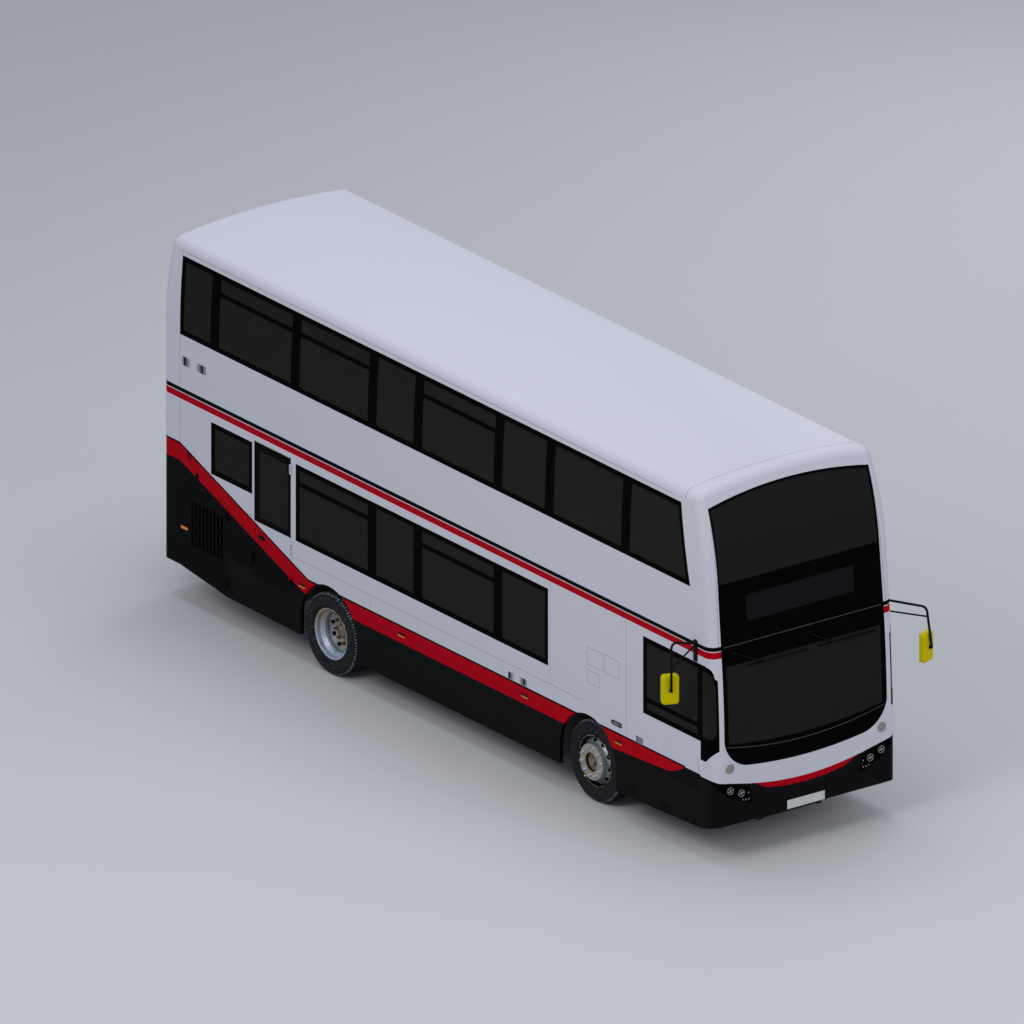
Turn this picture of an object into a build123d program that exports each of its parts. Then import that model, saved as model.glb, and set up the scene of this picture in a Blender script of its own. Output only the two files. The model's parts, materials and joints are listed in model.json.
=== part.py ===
"""Low-floor double-decker bus, in millimetres: +X forward, +Y to its left, +Z up, on the ground."""

import os
from math import cos, radians, sin

from build123d import *

os.makedirs("parts", exist_ok=True)

# ---------------------------------------------------------------- overall sizes
rear_overhang = 3090
wheelbase = 4800
front_overhang = 2340
body_width = 2540
roof_height = 4380
mirror_ahead = 232  # the left mirror stands this far ahead of the nose
mirror_reach = 1660  # both mirrors stand this far out from the middle

x_tail = -(rear_overhang + wheelbase + front_overhang + mirror_ahead) / 2
x_rear = x_tail + rear_overhang
x_front = x_rear + wheelbase
x_nose = x_front + front_overhang
half_width = body_width / 2

# ---------------------------------------------------------------- decks and window heights
lower_sill = 1470
lower_window_tall = 800
lower_head = lower_sill + lower_window_tall
rear_sill_rise = 300
rear_sill = lower_sill + rear_sill_rise
deck_band = 240
deck_split = lower_head + deck_band
cove_depth = 310
upper_head = roof_height - cove_depth
upper_sill_rise = 750
upper_sill = deck_split + upper_sill_rise
roof_panel_drop = 180
roof_seam = roof_height - roof_panel_drop

# ---------------------------------------------------------------- body shell
wall = 50
glass_recess = 6
glass_thick = 8
clearance = 0.3
door_gap = 6
outside = 60  # cutters stand this far out of the skin

skirt_bottom = 310
skirt_top = 810
bumper_bottom = 430
tail_bottom = 445
lean_start = upper_sill - 10
lean_in = 58
crown_rise = 88
shoulder_radius = 130
corner_radius = 120
nose_flat_top = 1200
nose_setbacks = ((67, deck_split + 50), (134, upper_sill + 4), (325, upper_head + 44))
tail_flat_top = upper_sill + 40
tail_lean_top = roof_height - 130
tail_lean = 90
rear_cap = 337  # the rear wall wraps this far along the sides
front_cap = 255
x_rear_seam = x_tail + rear_cap
x_front_seam = x_nose - front_cap

# ---------------------------------------------------------------- windows
pillar = 150
window_margin = 60
hopper_rail = 50
hopper_tall = 155
upper_hopper = upper_head - hopper_rail - hopper_tall
lower_hopper = lower_head - hopper_rail - hopper_tall + 15
bay_widths = (500, 1340, 1275, 695, 1335, 800, 1260)
upper_front_bottom = x_nose - 520
upper_front_top = x_nose - 712
dome_strip = 140
cab_window = (x_front + 1080, x_front + 2030)
cab_rail = lower_sill + 90
quarter_rear = x_front + 2110
quarter_reach = half_width - 80
quarter_frame = 22
quarter_round = ((58, 130), (68, 75), (88, 34), (120, 10), (174, 0))  # back from the nose, down from the top
quarter_tip = 1190
exit_door_x = (x_rear - 1378, x_rear - 702)
exit_door_z = (740, lower_head + 100)
exit_glass_x = (exit_door_x[0] + 84, exit_door_x[1] - 56)
rear_pane = (x_rear - 2120, exit_door_x[0] - 100)
back_window_half = 900
back_window_z = (upper_sill + 70, upper_head - 110)

mask_inset = 142
mask_half = half_width - mask_inset
mask_low = 1093
mask_low_mid = 1037
mask_high = upper_head + 55
mask_crown = 107
screen_border = 28
lower_screen_half = 1068
lower_screen_low = 1394
lower_screen_high = lower_head + 41
lower_screen_dip = 85
upper_screen_low = upper_sill + 4
display_half = 750
display_tall = 310
display_low = upper_screen_low - 494

# ---------------------------------------------------------------- doors, covers and their hinges
entrance_wide = 1260
entrance_x = (x_front + 800, x_front + 800 + entrance_wide)
entrance_head = lower_head + 40
radiator_x = (x_tail + 355, x_rear - 1895)
radiator_z = (360, 1440)
filler_x = (x_rear - 1719, x_rear - 1410)
filler_z = (820, 1070)
cover_half = 900
engine_cover_z = (560, 1500)
slat_count = 9
slat_pitch = 68
slat_gap = 40
slat_z = (745, 1270)
louvre_count = 7
louvre_pitch = 70
louvre_half = 640
hinge_radius = 11
hinge_pin = 5
hinge_long = 70
hinge_leaf = 40
lug_long = 20
lug_gap = 1
hinge_stand = 1  # the pin's eye clears the skin by this much
exit_hinges = (900, 1300, exit_door_z[1] - 130)
radiator_hinges = (500, 1300)
filler_hinges = ((filler_z[0] + filler_z[1]) / 2,)
cover_hinges = (-600, 600)
leaf_thick = 36
leaf_border = 70
leaf_gap = 14
leaf_recess = 6
post_radius = 18
post_pin = 12
post_in = 75
post_y = half_width - wall - 30

# ---------------------------------------------------------------- floors, stairs and seats
low_floor = 380
high_floor = 720
floor_thick = 30
upper_floor_top = deck_split - 20
upper_floor_thick = 80
engine_deck = 1300
x_step = x_rear + 900
x_bulkhead = x_rear - 1750
nose_step = 60
cab_floor = 620
inside = half_width - wall - clearance
wheel_box_wall = 30
front_box = (620, 500, 1120)  # half length, inner side and top of each wheel box
rear_box = (560, 620, 1100)
stair_long = 1400
stair_x = (x_front - 900, x_front - 900 + stair_long)
stair_inner = 620
stair_steps = 6
seat_pitch = 750
seat_width = 860
cushion_depth = 420
cushion_thick = 90
cushion_height = 440
back_thick = 80
back_tall = 650
seat_round = 30
seat_foot = 60
driver_x = x_front + 1450
driver_y = -720
driver_wide = 460
steering_centre = (x_nose - 660, driver_y, 1330)
steering_radius = 220
steering_grip = 15
column_tilt = 25
column_radius = 38
shaft_radius = 22

# ---------------------------------------------------------------- chassis and running gear
rail_y = (380, 440)
rail_low = (250, low_floor - floor_thick)
rail_high = (600, high_floor - floor_thick)
member_half = 40
tyre_radius = 480
tyre_width = 275
rim_radius = 286
rim_width = 234
rim_flange = 300
rim_well = 245
rim_wall = 14
rim_lip = 12
disc_offset = 161
disc_thick = 14
hub_radius = 105
hand_holes = 10
hand_hole_circle = 208
hand_hole_radius = 26
arch_radius = 520
arch_height = 540
front_wheel_y = 1053
rear_wheel_y = 1123
twin_spacing = 322
kingpin_y = 900
kingpin_radius = 22
spindle_radius = 38
rear_spindle = 60
beam_half = 45
beam_tall = 50
beam_low = (160, 240)
lug_clear = 6
arm_back = 210
arm_in = 40
tie_rod_z = 205
tie_rod_radius = 16
tie_eye = 24
tie_pin = 9
spring_carrier = (300, 360)
axle_z = tyre_radius

# ---------------------------------------------------------------- outside fittings
mirror_tube = 14
mirror_brace = 10
mirror_bend = 60
mirror_z = {-1: lower_head - 225, 1: lower_head - 272}
head_wide = 200
head_thick = 75
head_tall = 350
head_turn = 24
clamp_radius = 20
clamp_reach = 30
foot_thick = 16
wiper_spindle = 10
wiper_rod = 7
wiper_thick = 14
wiper_z = (lower_screen_high - 50, lower_screen_high + 158)
plate_wide = 520
plate_tall = 111
plate_thick = 6
front_plate_z = bumper_bottom + 58
rear_plate_z = 1635
tow_radius = 12
tow_y = 1010
tow_z = 554
marker_z = 905
marker_half = 60
marker_tall = 36
lamp_stand = 6
repeater_x = x_front + 533
repeater_z = 1122
repeater_long = 205
round_lamp = 50
round_lamp_y = 1054
round_lamp_z = 1106


def block(x, y, z, mode=Mode.ADD):
    """A box between the two values given for each axis."""
    with Locations(((x[0] + x[1]) / 2, (y[0] + y[1]) / 2, (z[0] + z[1]) / 2)):
        Box(x[1] - x[0], y[1] - y[0], z[1] - z[0], mode=mode)


def bar(start, end, radius, mode=Mode.ADD):
    """A round bar from one point to another."""
    path = Vector(*end) - Vector(*start)
    with Locations(Plane(origin=start, z_dir=path)):
        Cylinder(radius, path.length, align=(Align.CENTER, Align.CENTER, Align.MIN), mode=mode)


def side_slab(points, y, mode=Mode.ADD):
    """An outline in side view, (x, z) points, made solid between two y values."""
    with BuildSketch(Plane.XZ.offset(-y[1])) as outline:
        with BuildLine():
            Polyline(*points, close=True)
        make_face()
    extrude(outline.sketch, amount=y[1] - y[0], mode=mode)


def front_slab(points, x, mode=Mode.ADD):
    """An outline in front view, (y, z) points, made solid between two x values."""
    with BuildSketch(Plane.YZ.offset(x[0])) as outline:
        with BuildLine():
            Polyline(*points, close=True)
        make_face()
    extrude(outline.sketch, amount=x[1] - x[0], mode=mode)


def rectangle(x, z):
    """The four corners of a rectangle in side or front view."""
    return [(x[0], z[0]), (x[1], z[0]), (x[1], z[1]), (x[0], z[1])]


def about(middle, half):
    """The two values that lie the same distance either side of a middle."""
    return (middle - half, middle + half)


def outward(side, near, far):
    """The y range between two distances from the middle, on the left (1) or right (-1)."""
    return sorted((side * near, side * far))


def save(part, node):
    """Labels one finished piece and writes it out."""
    part.label = node
    export_step(part, f"parts/{node}.step")


# ================================================================ outer body
def section_half(inset, side, base):
    """Side wall, lean and roof edge of one half of the cross-section."""
    edge = half_width - inset
    low = Line((side * edge, base), (side * edge, lean_start))
    top = (side * (edge - lean_in), roof_height - crown_rise - inset)
    TangentArc(low @ 1, top, tangent=(0, 1))
    return top


def side_profile(inset, drop):
    """The nose, roof line, tail and stepped underside seen from the side."""
    top = roof_height + 100
    nose, tail = x_nose - inset, x_tail + inset
    face = Line((nose, bumper_bottom - drop), (nose, nose_flat_top))
    for setback, height in nose_setbacks:
        face = TangentArc(face @ 1, (nose - setback, height), tangent=face % 1)
    brow = Line(face @ 1, face @ 1 + face % 1 * ((top - (face @ 1).Y) / (face % 1).Y))
    back = Line((tail, tail_bottom - drop), (tail, tail_flat_top))
    lean = TangentArc(back @ 1, (tail + tail_lean, tail_lean_top), tangent=(0, 1))
    crest = Line(lean @ 1, lean @ 1 + lean % 1 * ((top - tail_lean_top) / (lean % 1).Y))
    Line(brow @ 1, crest @ 1)
    Polyline(
        (nose, bumper_bottom - drop),
        (x_front + 2080, skirt_bottom + 60 - drop),
        (x_front + 970, skirt_bottom + 16 - drop),
        (x_front, skirt_bottom - drop),
        (x_rear, skirt_bottom - drop),
        (x_rear - 1880, skirt_bottom + 20 - drop),
        (x_rear_seam, tail_bottom - drop),
        (tail, tail_bottom - drop),
    )


def envelope(inset, drop):
    """The body's outside moved in by inset, with its underside lowered by drop."""
    base = skirt_bottom - 100
    with BuildPart() as body:
        with BuildSketch(Plane.YZ.offset(x_tail - 100)) as section:
            with BuildLine():
                right = section_half(inset, -1, base)
                left = section_half(inset, 1, base)
                ThreePointArc(right, (0, roof_height - inset), left)
                Line((-half_width + inset, base), (half_width - inset, base))
            make_face()
            fillet(section.vertices().group_by(Axis.Y)[-1], shoulder_radius - inset)
        extrude(amount=x_nose - x_tail + 200)
        with BuildSketch(Plane.XZ):
            with BuildLine():
                side_profile(inset, drop)
            make_face()
        extrude(amount=half_width + 100, both=True, mode=Mode.INTERSECT)
        nose_reach = nose_setbacks[-1][0] + 155
        ends = body.edges().filter_by(
            lambda e: e.center().X > x_nose - nose_reach or e.center().X < x_tail + tail_lean + 160
        )
        ends = ends.filter_by(lambda e: e.center().Z > tail_bottom + 55)
        ends = ends.filter_by(lambda e: abs(e.center().Y) > 10 or e.center().Z > roof_height - 20)
        fillet(ends, corner_radius - inset)
    return body.part


with BuildPart() as shell:
    add(envelope(0, 0))
    add(envelope(wall, 200), mode=Mode.SUBTRACT)
with BuildPart() as glass_shell:
    add(envelope(glass_recess, 200))
    add(envelope(glass_recess + glass_thick, 210), mode=Mode.SUBTRACT)

# ---------------------------------------------------------------- window outlines
bays = []
bay_x = x_rear_seam + window_margin
for width in bay_widths:
    bays.append((bay_x, bay_x + width))
    bay_x += width + pillar
front_bay = bay_x
hopper_bays = (1, 2, 4)

upper_z = (upper_sill, upper_head)
lower_z = (lower_sill, lower_head)
rear_z = (rear_sill, lower_head)
screen_lean = (upper_front_bottom - upper_front_top) / (upper_head - upper_sill)


def band(x, z):
    """The black surround's outline round a row of panes."""
    return rectangle((x[0] - window_margin, x[1] + window_margin), (z[0] - window_margin, z[1] + window_margin))


def pane_row(numbers, z, rail):
    """Outlines of a row of side panes, those with an opening top part split at the rail."""
    outlines = []
    for number in numbers:
        if number in hopper_bays:
            outlines.append(rectangle(bays[number], (z[0], rail)))
            outlines.append(rectangle(bays[number], (rail + hopper_rail, z[1])))
        else:
            outlines.append(rectangle(bays[number], z))
    return outlines


upper_band = [
    (x_rear_seam, upper_sill - window_margin),
    (upper_front_bottom + window_margin * (1 + screen_lean), upper_sill - window_margin),
    (upper_front_top + window_margin * (1 - screen_lean), upper_head + window_margin),
    (x_rear_seam, upper_head + window_margin),
]
upper_front_pane = [
    (front_bay, upper_sill),
    (upper_front_bottom, upper_sill),
    (upper_front_top, upper_head),
    (front_bay, upper_head),
]
upper_panes = [upper_front_pane, *pane_row(range(len(bays)), upper_z, upper_hopper)]
saloon_panes = pane_row((2, 3, 4, 5), lower_z, lower_hopper)
quarter_pane = [
    (quarter_rear, lower_sill),
    (x_nose - 100, lower_sill),
    (x_nose - 55, lower_sill + 15),
    (x_nose - 30, lower_sill + 50),
    (x_nose + outside, lower_sill + 240),
    (x_nose + outside, lower_head - 290),
    *[(x_nose - back, lower_head - drop) for back, drop in quarter_round],
    (quarter_rear, lower_head),
]
quarter_band = [
    (x_front_seam, quarter_tip),
    (x_front_seam + 100, quarter_tip),
    (x_nose + outside, lower_sill - window_margin),
    (x_nose + outside, lower_head - 230),
    *[(x_nose - back, lower_head + window_margin - drop) for back, drop in quarter_round],
    (x_front_seam, lower_head + window_margin),
]
cutter_y = {side: outward(side, half_width - wall - 90, half_width + outside) for side in (-1, 1)}


def side_cutter(side, outlines, quarter, reach):
    """Prisms through one side wall, and one that stops at the front corner."""
    with BuildPart() as cutter:
        for points in outlines:
            side_slab(points, cutter_y[side])
        side_slab(quarter, outward(side, reach, half_width + outside))
    return cutter.part


# Right side: a short pane behind the emergency door, the saloon row and the driver's window.
cab_surround = (cab_window[0] - window_margin, x_front_seam)
right_bands = [
    upper_band,
    band(rear_pane, rear_z),
    band((bays[2][0], bays[5][1]), lower_z),
    rectangle(cab_surround, (lower_sill - window_margin, lower_head + window_margin)),
]
right_panes = [
    *upper_panes,
    *saloon_panes,
    rectangle(rear_pane, rear_z),
    rectangle(cab_window, (lower_sill, cab_rail)),
    rectangle(cab_window, (cab_rail + hopper_rail, lower_head)),
]
# Left side: two rear panes and a saloon row one bay longer, up to the entrance.
left_bands = [
    upper_band,
    band((rear_pane[0], bays[1][1]), rear_z),
    band((bays[2][0], bays[6][1]), lower_z),
]
left_panes = [
    *upper_panes,
    *saloon_panes,
    rectangle((rear_pane[0], exit_door_x[0]), rear_z),
    rectangle((exit_door_x[0] + pillar, bays[1][1]), rear_z),
    rectangle(bays[6], lower_z),
]
pane_reach = quarter_reach + quarter_frame
bands = side_cutter(-1, right_bands, quarter_band, quarter_reach)
bands += side_cutter(1, left_bands, quarter_band, quarter_reach)
panes = side_cutter(-1, right_panes, quarter_pane, pane_reach)
panes += side_cutter(1, left_panes, quarter_pane, pane_reach)

with BuildPart() as window_frames:
    add(shell.part)
    add(bands, mode=Mode.INTERSECT)
    add(panes, mode=Mode.SUBTRACT)
save(window_frames.part, "window_frames")

with BuildPart() as side_glass:
    add(glass_shell.part)
    add(panes, mode=Mode.INTERSECT)
save(side_glass.part, "side_glass")

# ---------------------------------------------------------------- front and rear outlines
front_x = (x_nose - 700, x_nose + outside)
cap_x = (x_front_seam, x_nose + outside)
tail_x = (x_tail - outside, x_tail + 200)
mask_top_half = mask_half - 14
lamp_pod = [(1290, 1000), (1200, 960), (850, 884), (770, 830), (736, 640), (770, 620), (1046, 747), (1206, 880)]
bumper_line = [(0, 713), (270, 725), (540, 765), (707, 852), (1200, 960), (half_width + outside, 1005)]


def mask_prism(x):
    """The black mask of the front, from the fascia up to the brow, between two x values."""
    flat = 0.7 * mask_half
    with BuildSketch(Plane.YZ.offset(x[0])) as outline:
        with BuildLine():
            low = ThreePointArc((-flat, mask_low), (0, mask_low_mid), (flat, mask_low))
            for side, end in ((-1, 0), (1, 1)):
                corner = (side * mask_half, mask_low + 330)
                bend = TangentArc(low @ end, corner, tangent=low % end * side)
                Line(bend @ 1, (side * mask_half, deck_split))
                Line((side * mask_half, deck_split), (side * mask_top_half, mask_high))
            ThreePointArc((-mask_top_half, mask_high), (0, mask_high + mask_crown), (mask_top_half, mask_high))
        make_face()
    extrude(outline.sketch, amount=x[1] - x[0])


with BuildPart() as mask_cutter:
    mask_prism(front_x)
with BuildPart() as screen_cutter:
    with BuildSketch(Plane.YZ.offset(front_x[0])) as lower_screen:
        with BuildLine():
            left, right = (-lower_screen_half, lower_screen_low), (lower_screen_half, lower_screen_low)
            ThreePointArc(left, (0, lower_screen_low - lower_screen_dip), right)
            Polyline(left, (left[0], lower_screen_high), (right[0], lower_screen_high), right)
        make_face()
    extrude(lower_screen.sketch, amount=front_x[1] - front_x[0])
    with BuildSketch(Plane.YZ.offset(front_x[0])) as upper_screen:
        with BuildLine():
            low_half, high_half = mask_half - screen_border, mask_top_half - screen_border
            high = mask_high - screen_border
            ThreePointArc((-high_half, high), (0, high + mask_crown), (high_half, high))
            Polyline(
                (-high_half, high), (-low_half, upper_screen_low), (low_half, upper_screen_low), (high_half, high)
            )
        make_face()
    extrude(upper_screen.sketch, amount=front_x[1] - front_x[0])
with BuildPart() as display_cutter:
    block(front_x, about(0, display_half), (display_low, display_low + display_tall))
with BuildPart() as pod_cutter:
    for side in (-1, 1):
        front_slab([(side * y, z) for y, z in lamp_pod], cap_x)
with BuildPart() as door_cutter:
    block(exit_door_x, cutter_y[-1], exit_door_z)
    block(radiator_x, cutter_y[-1], radiator_z)
    block(filler_x, cutter_y[-1], filler_z)
    block(entrance_x, cutter_y[1], (0, entrance_head))
    block(tail_x, about(0, cover_half), engine_cover_z)
    block(tail_x, about(0, back_window_half), back_window_z)
with BuildPart() as arch_cutter:
    for axle in (x_rear, x_front):
        for side in (-1, 1):
            y = cutter_y[side]
            with BuildSketch(Plane.XZ.offset(-y[1])) as arch:
                with Locations((axle, arch_height)):
                    Circle(arch_radius)
                    Rectangle(2 * arch_radius, arch_height, align=(Align.CENTER, Align.MAX))
            extrude(arch.sketch, amount=y[1] - y[0])

with BuildPart() as walls:
    add(shell.part)
    for cutter in (bands, arch_cutter.part, door_cutter.part, mask_cutter.part):
        add(cutter, mode=Mode.SUBTRACT)

# ---------------------------------------------------------------- outside panels
wide = half_width + outside
over = roof_height + outside
seam_foot = (upper_front_bottom + dome_strip + window_margin * screen_lean, upper_sill - window_margin)
seam_top = (upper_front_bottom + dome_strip - screen_lean * (over - upper_sill), over)
dome_seam = [(x_front_seam, deck_split), seam_foot, seam_top]
behind_seam = [(x_rear_seam, deck_split), *dome_seam, (x_rear_seam, over)]

for side, name in ((-1, "right"), (1, "left")):
    half = outward(side, 0, wide)
    with BuildPart() as lower_side:
        add(walls.part)
        block((x_rear_seam, x_front_seam), half, (skirt_top, deck_split), Mode.INTERSECT)
    save(lower_side.part, f"lower_side_{name}")
    with BuildPart() as upper_side:
        add(walls.part)
        side_slab(behind_seam, half, Mode.INTERSECT)
        block((x_tail, x_nose), half, (deck_split, roof_seam), Mode.INTERSECT)
    save(upper_side.part, f"upper_side_{name}")

with BuildPart() as roof:
    add(walls.part)
    side_slab(behind_seam, (-wide, wide), Mode.INTERSECT)
    block((x_tail, x_nose), (-wide, wide), (roof_seam, over), Mode.INTERSECT)
save(roof.part, "roof")

with BuildPart() as skirts:
    add(walls.part)
    block((x_rear_seam, x_front_seam), (-wide, wide), (0, skirt_top), Mode.INTERSECT)
save(skirts.part, "skirts")

with BuildPart() as rear_wall:
    add(walls.part)
    block((x_tail - outside, x_rear_seam), (-wide, wide), (0, over), Mode.INTERSECT)
save(rear_wall.part, "rear_wall")

with BuildPart() as front_dome:
    add(walls.part)
    dome = [*dome_seam, (x_nose + outside, over), (x_nose + outside, deck_split)]
    side_slab(dome, (-wide, wide), Mode.INTERSECT)
save(front_dome.part, "front_dome")

bumper_top = [(-y, z) for y, z in bumper_line[:0:-1]] + bumper_line
with BuildPart() as front_fascia:
    add(walls.part)
    block(cap_x, (-wide, wide), (0, deck_split), Mode.INTERSECT)
    front_slab([*bumper_top, (wide, deck_split), (-wide, deck_split)], front_x, Mode.INTERSECT)
    add(pod_cutter.part, mode=Mode.SUBTRACT)
save(front_fascia.part, "front_fascia")

with BuildPart() as front_bumper:
    add(walls.part)
    block(cap_x, (-wide, wide), (0, deck_split), Mode.INTERSECT)
    front_slab([*bumper_top, (wide, 0), (-wide, 0)], front_x, Mode.INTERSECT)
    add(pod_cutter.part, mode=Mode.SUBTRACT)
    for side in (-1, 1):
        bar((x_nose - 60, side * tow_y, tow_z), (x_nose + 10, side * tow_y, tow_z), tow_radius, Mode.SUBTRACT)
save(front_bumper.part, "front_bumper")

with BuildPart() as headlamps:
    add(shell.part)
    add(pod_cutter.part, mode=Mode.INTERSECT)
    for side in (-1, 1):
        for y, z, radius in ((1050, 840, 46), (895, 780, 46), (800, 725, 20)):
            bar((x_nose - 20, side * y, z), (x_nose + 4, side * y, z), radius)
save(headlamps.part, "headlamps")


def nose_x(z):
    """Where the middle of the nose stands at a height between its flat and the deck seam."""
    setback, top = nose_setbacks[0]
    return x_nose - setback * ((z - nose_flat_top) / (top - nose_flat_top)) ** 2


# ---------------------------------------------------------------- wipers: pivot y, elbow y, blade ends
wiper_places = ((-989, -544, (-757, 65)), (37, 420, (221, 1015)))
with BuildPart() as front_mask:
    add(shell.part)
    add(mask_cutter.part, mode=Mode.INTERSECT)
    add(screen_cutter.part, mode=Mode.SUBTRACT)
    add(display_cutter.part, mode=Mode.SUBTRACT)
    for pivot, elbow, blade in wiper_places:
        start, end = (x_nose - 200, pivot, wiper_z[1]), (x_nose + 10, pivot, wiper_z[1])
        bar(start, end, wiper_spindle + clearance, Mode.SUBTRACT)
save(front_mask.part, "front_mask")

with BuildPart() as wipers:
    blade_x = nose_x(wiper_z[0]) + 4
    for pivot, elbow, blade in wiper_places:
        rod_x = nose_x(wiper_z[1]) + 30
        bar((nose_x(wiper_z[1]) - 30, pivot, wiper_z[1]), (rod_x + 8, pivot, wiper_z[1]), wiper_spindle)
        bar((rod_x, pivot, wiper_z[1]), (blade_x + wiper_thick, elbow, wiper_z[0]), wiper_rod)
        block((blade_x, blade_x + wiper_thick + 6), blade, about(wiper_z[0], 8))
save(wipers.part, "wipers")

with BuildPart() as windscreens:
    add(glass_shell.part)
    add(screen_cutter.part, mode=Mode.INTERSECT)
save(windscreens.part, "windscreens")

with BuildPart() as destination_display:
    add(glass_shell.part)
    add(display_cutter.part, mode=Mode.INTERSECT)
save(destination_display.part, "destination_display")

with BuildPart() as rear_glass:
    add(glass_shell.part)
    block(tail_x, about(0, back_window_half), back_window_z, Mode.INTERSECT)
save(rear_glass.part, "rear_glass")

# ================================================================ floors and inside
with BuildPart() as lower_floor:
    kick = bumper_bottom + nose_step
    nose_end = x_nose - wall - 20
    cab_end = x_front_seam - floor_thick
    tail_end = x_tail + wall + 10
    thick = floor_thick
    floor_line = [
        (nose_end, kick),
        (nose_end, kick + thick),
        (cab_end, kick + thick),
        (cab_end, low_floor),
        (x_step, low_floor),
        (x_step, high_floor),
        (x_bulkhead, high_floor),
        (x_bulkhead, engine_deck),
        (tail_end, engine_deck),
        (tail_end, engine_deck - thick),
        (x_bulkhead - thick, engine_deck - thick),
        (x_bulkhead - thick, high_floor - thick),
        (x_step - thick, high_floor - thick),
        (x_step - thick, low_floor - thick),
        (x_front_seam, low_floor - thick),
        (x_front_seam, kick),
    ]
    side_slab(floor_line, (-inside, inside))
    with BuildSketch(Plane.XY) as plan:
        with Locations(((x_tail + x_nose) / 2, 0)):
            RectangleRounded(x_nose - x_tail - 2 * (wall + clearance), 2 * inside, corner_radius - wall)
    extrude(plan.sketch, amount=roof_height, mode=Mode.INTERSECT)
    for axle, box in ((x_front, front_box), (x_rear, rear_box)):
        for side in (-1, 1):
            well = outward(side, box[1], wide)
            block(about(axle, box[0]), well, (0, high_floor + 10), Mode.SUBTRACT)
    block(entrance_x, (inside - 1, half_width - 5), (low_floor - thick, low_floor))
    for x in (entrance_x[0] + door_gap + post_in, entrance_x[1] - door_gap - post_in):
        start, end = (x, post_y, low_floor - 22), (x, post_y, low_floor + 1)
        bar(start, end, post_pin + clearance, Mode.SUBTRACT)
save(lower_floor.part, "lower_floor")

with BuildPart() as wheel_boxes:
    box_places = ((x_front, front_box, low_floor - floor_thick), (x_rear, rear_box, high_floor - floor_thick))
    for axle, (reach, near, top), bottom in box_places:
        for side in (-1, 1):
            block(about(axle, reach), outward(side, near, inside), (bottom, top))
            hollow = outward(side, near + wheel_box_wall, wide)
            block(about(axle, reach - wheel_box_wall), hollow, (0, top - wheel_box_wall), Mode.SUBTRACT)
save(wheel_boxes.part, "wheel_boxes")

with BuildPart() as upper_floor:
    add(envelope(wall + clearance, 200))
    floor_z = (upper_floor_top - upper_floor_thick, upper_floor_top)
    block((x_tail, x_nose - 200), (-wide, wide), floor_z, Mode.INTERSECT)
    block(stair_x, (-inside, -stair_inner), (0, over), Mode.SUBTRACT)
save(upper_floor.part, "upper_floor")

with BuildPart() as staircase:
    stair_foot = front_box[2]
    rise = (upper_floor_top - stair_foot) / (stair_steps + 1)
    run = stair_long / (stair_steps + 1)
    line = [(stair_x[1] - 2 * run, stair_foot), (stair_x[1] - run, stair_foot)]
    for step in range(1, stair_steps + 1):
        line.append((stair_x[1] - step * run, stair_foot + step * rise))
        line.append((stair_x[1] - (step + 1) * run, stair_foot + step * rise))
    line.append((stair_x[0], stair_foot + (stair_steps - 1) * rise))
    side_slab(line, (-inside, -stair_inner))
save(staircase.part, "staircase")

with BuildPart() as seat:
    under = cushion_height - cushion_thick
    block(about(0, cushion_depth / 2), about(0, seat_width / 2), (under, cushion_height))
    back_x = (-cushion_depth / 2 - back_thick, -cushion_depth / 2)
    block(back_x, about(0, seat_width / 2), (under, cushion_height + back_tall))
    rims = seat.edges().filter_by(Axis.Y).sort_by(Axis.Z)[2:] + seat.edges().filter_by(Axis.Z)
    fillet(rims.filter_by(lambda e: e.center().X != back_x[1]), seat_round)
    block(about(0, seat_foot), about(0, seat_foot), (0, under))

with BuildPart() as driver_seat:
    seat_under = cushion_height + 10 - cushion_thick
    block(about(0, driver_wide / 2), about(0, driver_wide / 2), (seat_under, seat_under + cushion_thick))
    driver_back = (-driver_wide / 2 - back_thick, -driver_wide / 2)
    block(driver_back, about(0, driver_wide / 2), (seat_under, seat_under + back_tall + 140))
    fillet(driver_seat.edges().filter_by(Axis.Z), seat_round)
    block(about(0, seat_foot), about(0, seat_foot), (0, seat_under))

seat_y = inside - seat_width / 2 - 20
with BuildPart() as upper_seats:
    for row in range(11):
        x = x_rear - 2500 + row * seat_pitch
        for side in (-1, 1):
            if side > 0 or not stair_x[0] - 500 < x < stair_x[1] + 350:
                add(Pos(x, side * seat_y, upper_floor_top) * seat.part)
save(upper_seats.part, "upper_seats")

with BuildPart() as lower_seats:
    for side in (-1, 1):
        for row in range(3):
            add(Pos(x_step + 500 + row * seat_pitch, side * seat_y, low_floor) * seat.part)
        add(Pos(x_bulkhead - 300, side * seat_y, engine_deck) * seat.part)
    add(Pos(driver_x, driver_y, cab_floor) * driver_seat.part)
save(lower_seats.part, "lower_seats")


def column_point(distance):
    """A point on the steering column's axis, measured up from the wheel's centre."""
    x, y, z = steering_centre
    return (x - distance * sin(radians(column_tilt)), y, z + distance * cos(radians(column_tilt)))


with BuildPart() as cab_interior:
    cab_back = x_front + 900
    cab_side = -330
    cab_nose = x_front_seam - floor_thick
    screen_thick = 40
    dash_x = x_nose - 480
    block((cab_back, cab_nose), (-inside, cab_side), (low_floor, cab_floor))
    partition = (cab_floor, upper_floor_top - upper_floor_thick)
    block((cab_back, cab_back + screen_thick), (-inside, cab_side), partition)
    cab_door = (cab_back + screen_thick, dash_x - 20)
    block(cab_door, (cab_side - screen_thick, cab_side), (cab_floor, 1650))
    dash = [(cab_nose, cab_floor), (cab_nose, 1300), (dash_x, 1250), (dash_x, 1100), (dash_x + 80, cab_floor)]
    side_slab(dash, (-inside, cab_side))
    bar(column_point(-500), column_point(-60), column_radius)
    bar(column_point(-95), column_point(-59), shaft_radius + clearance, Mode.SUBTRACT)
save(cab_interior.part, "cab_interior")

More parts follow.
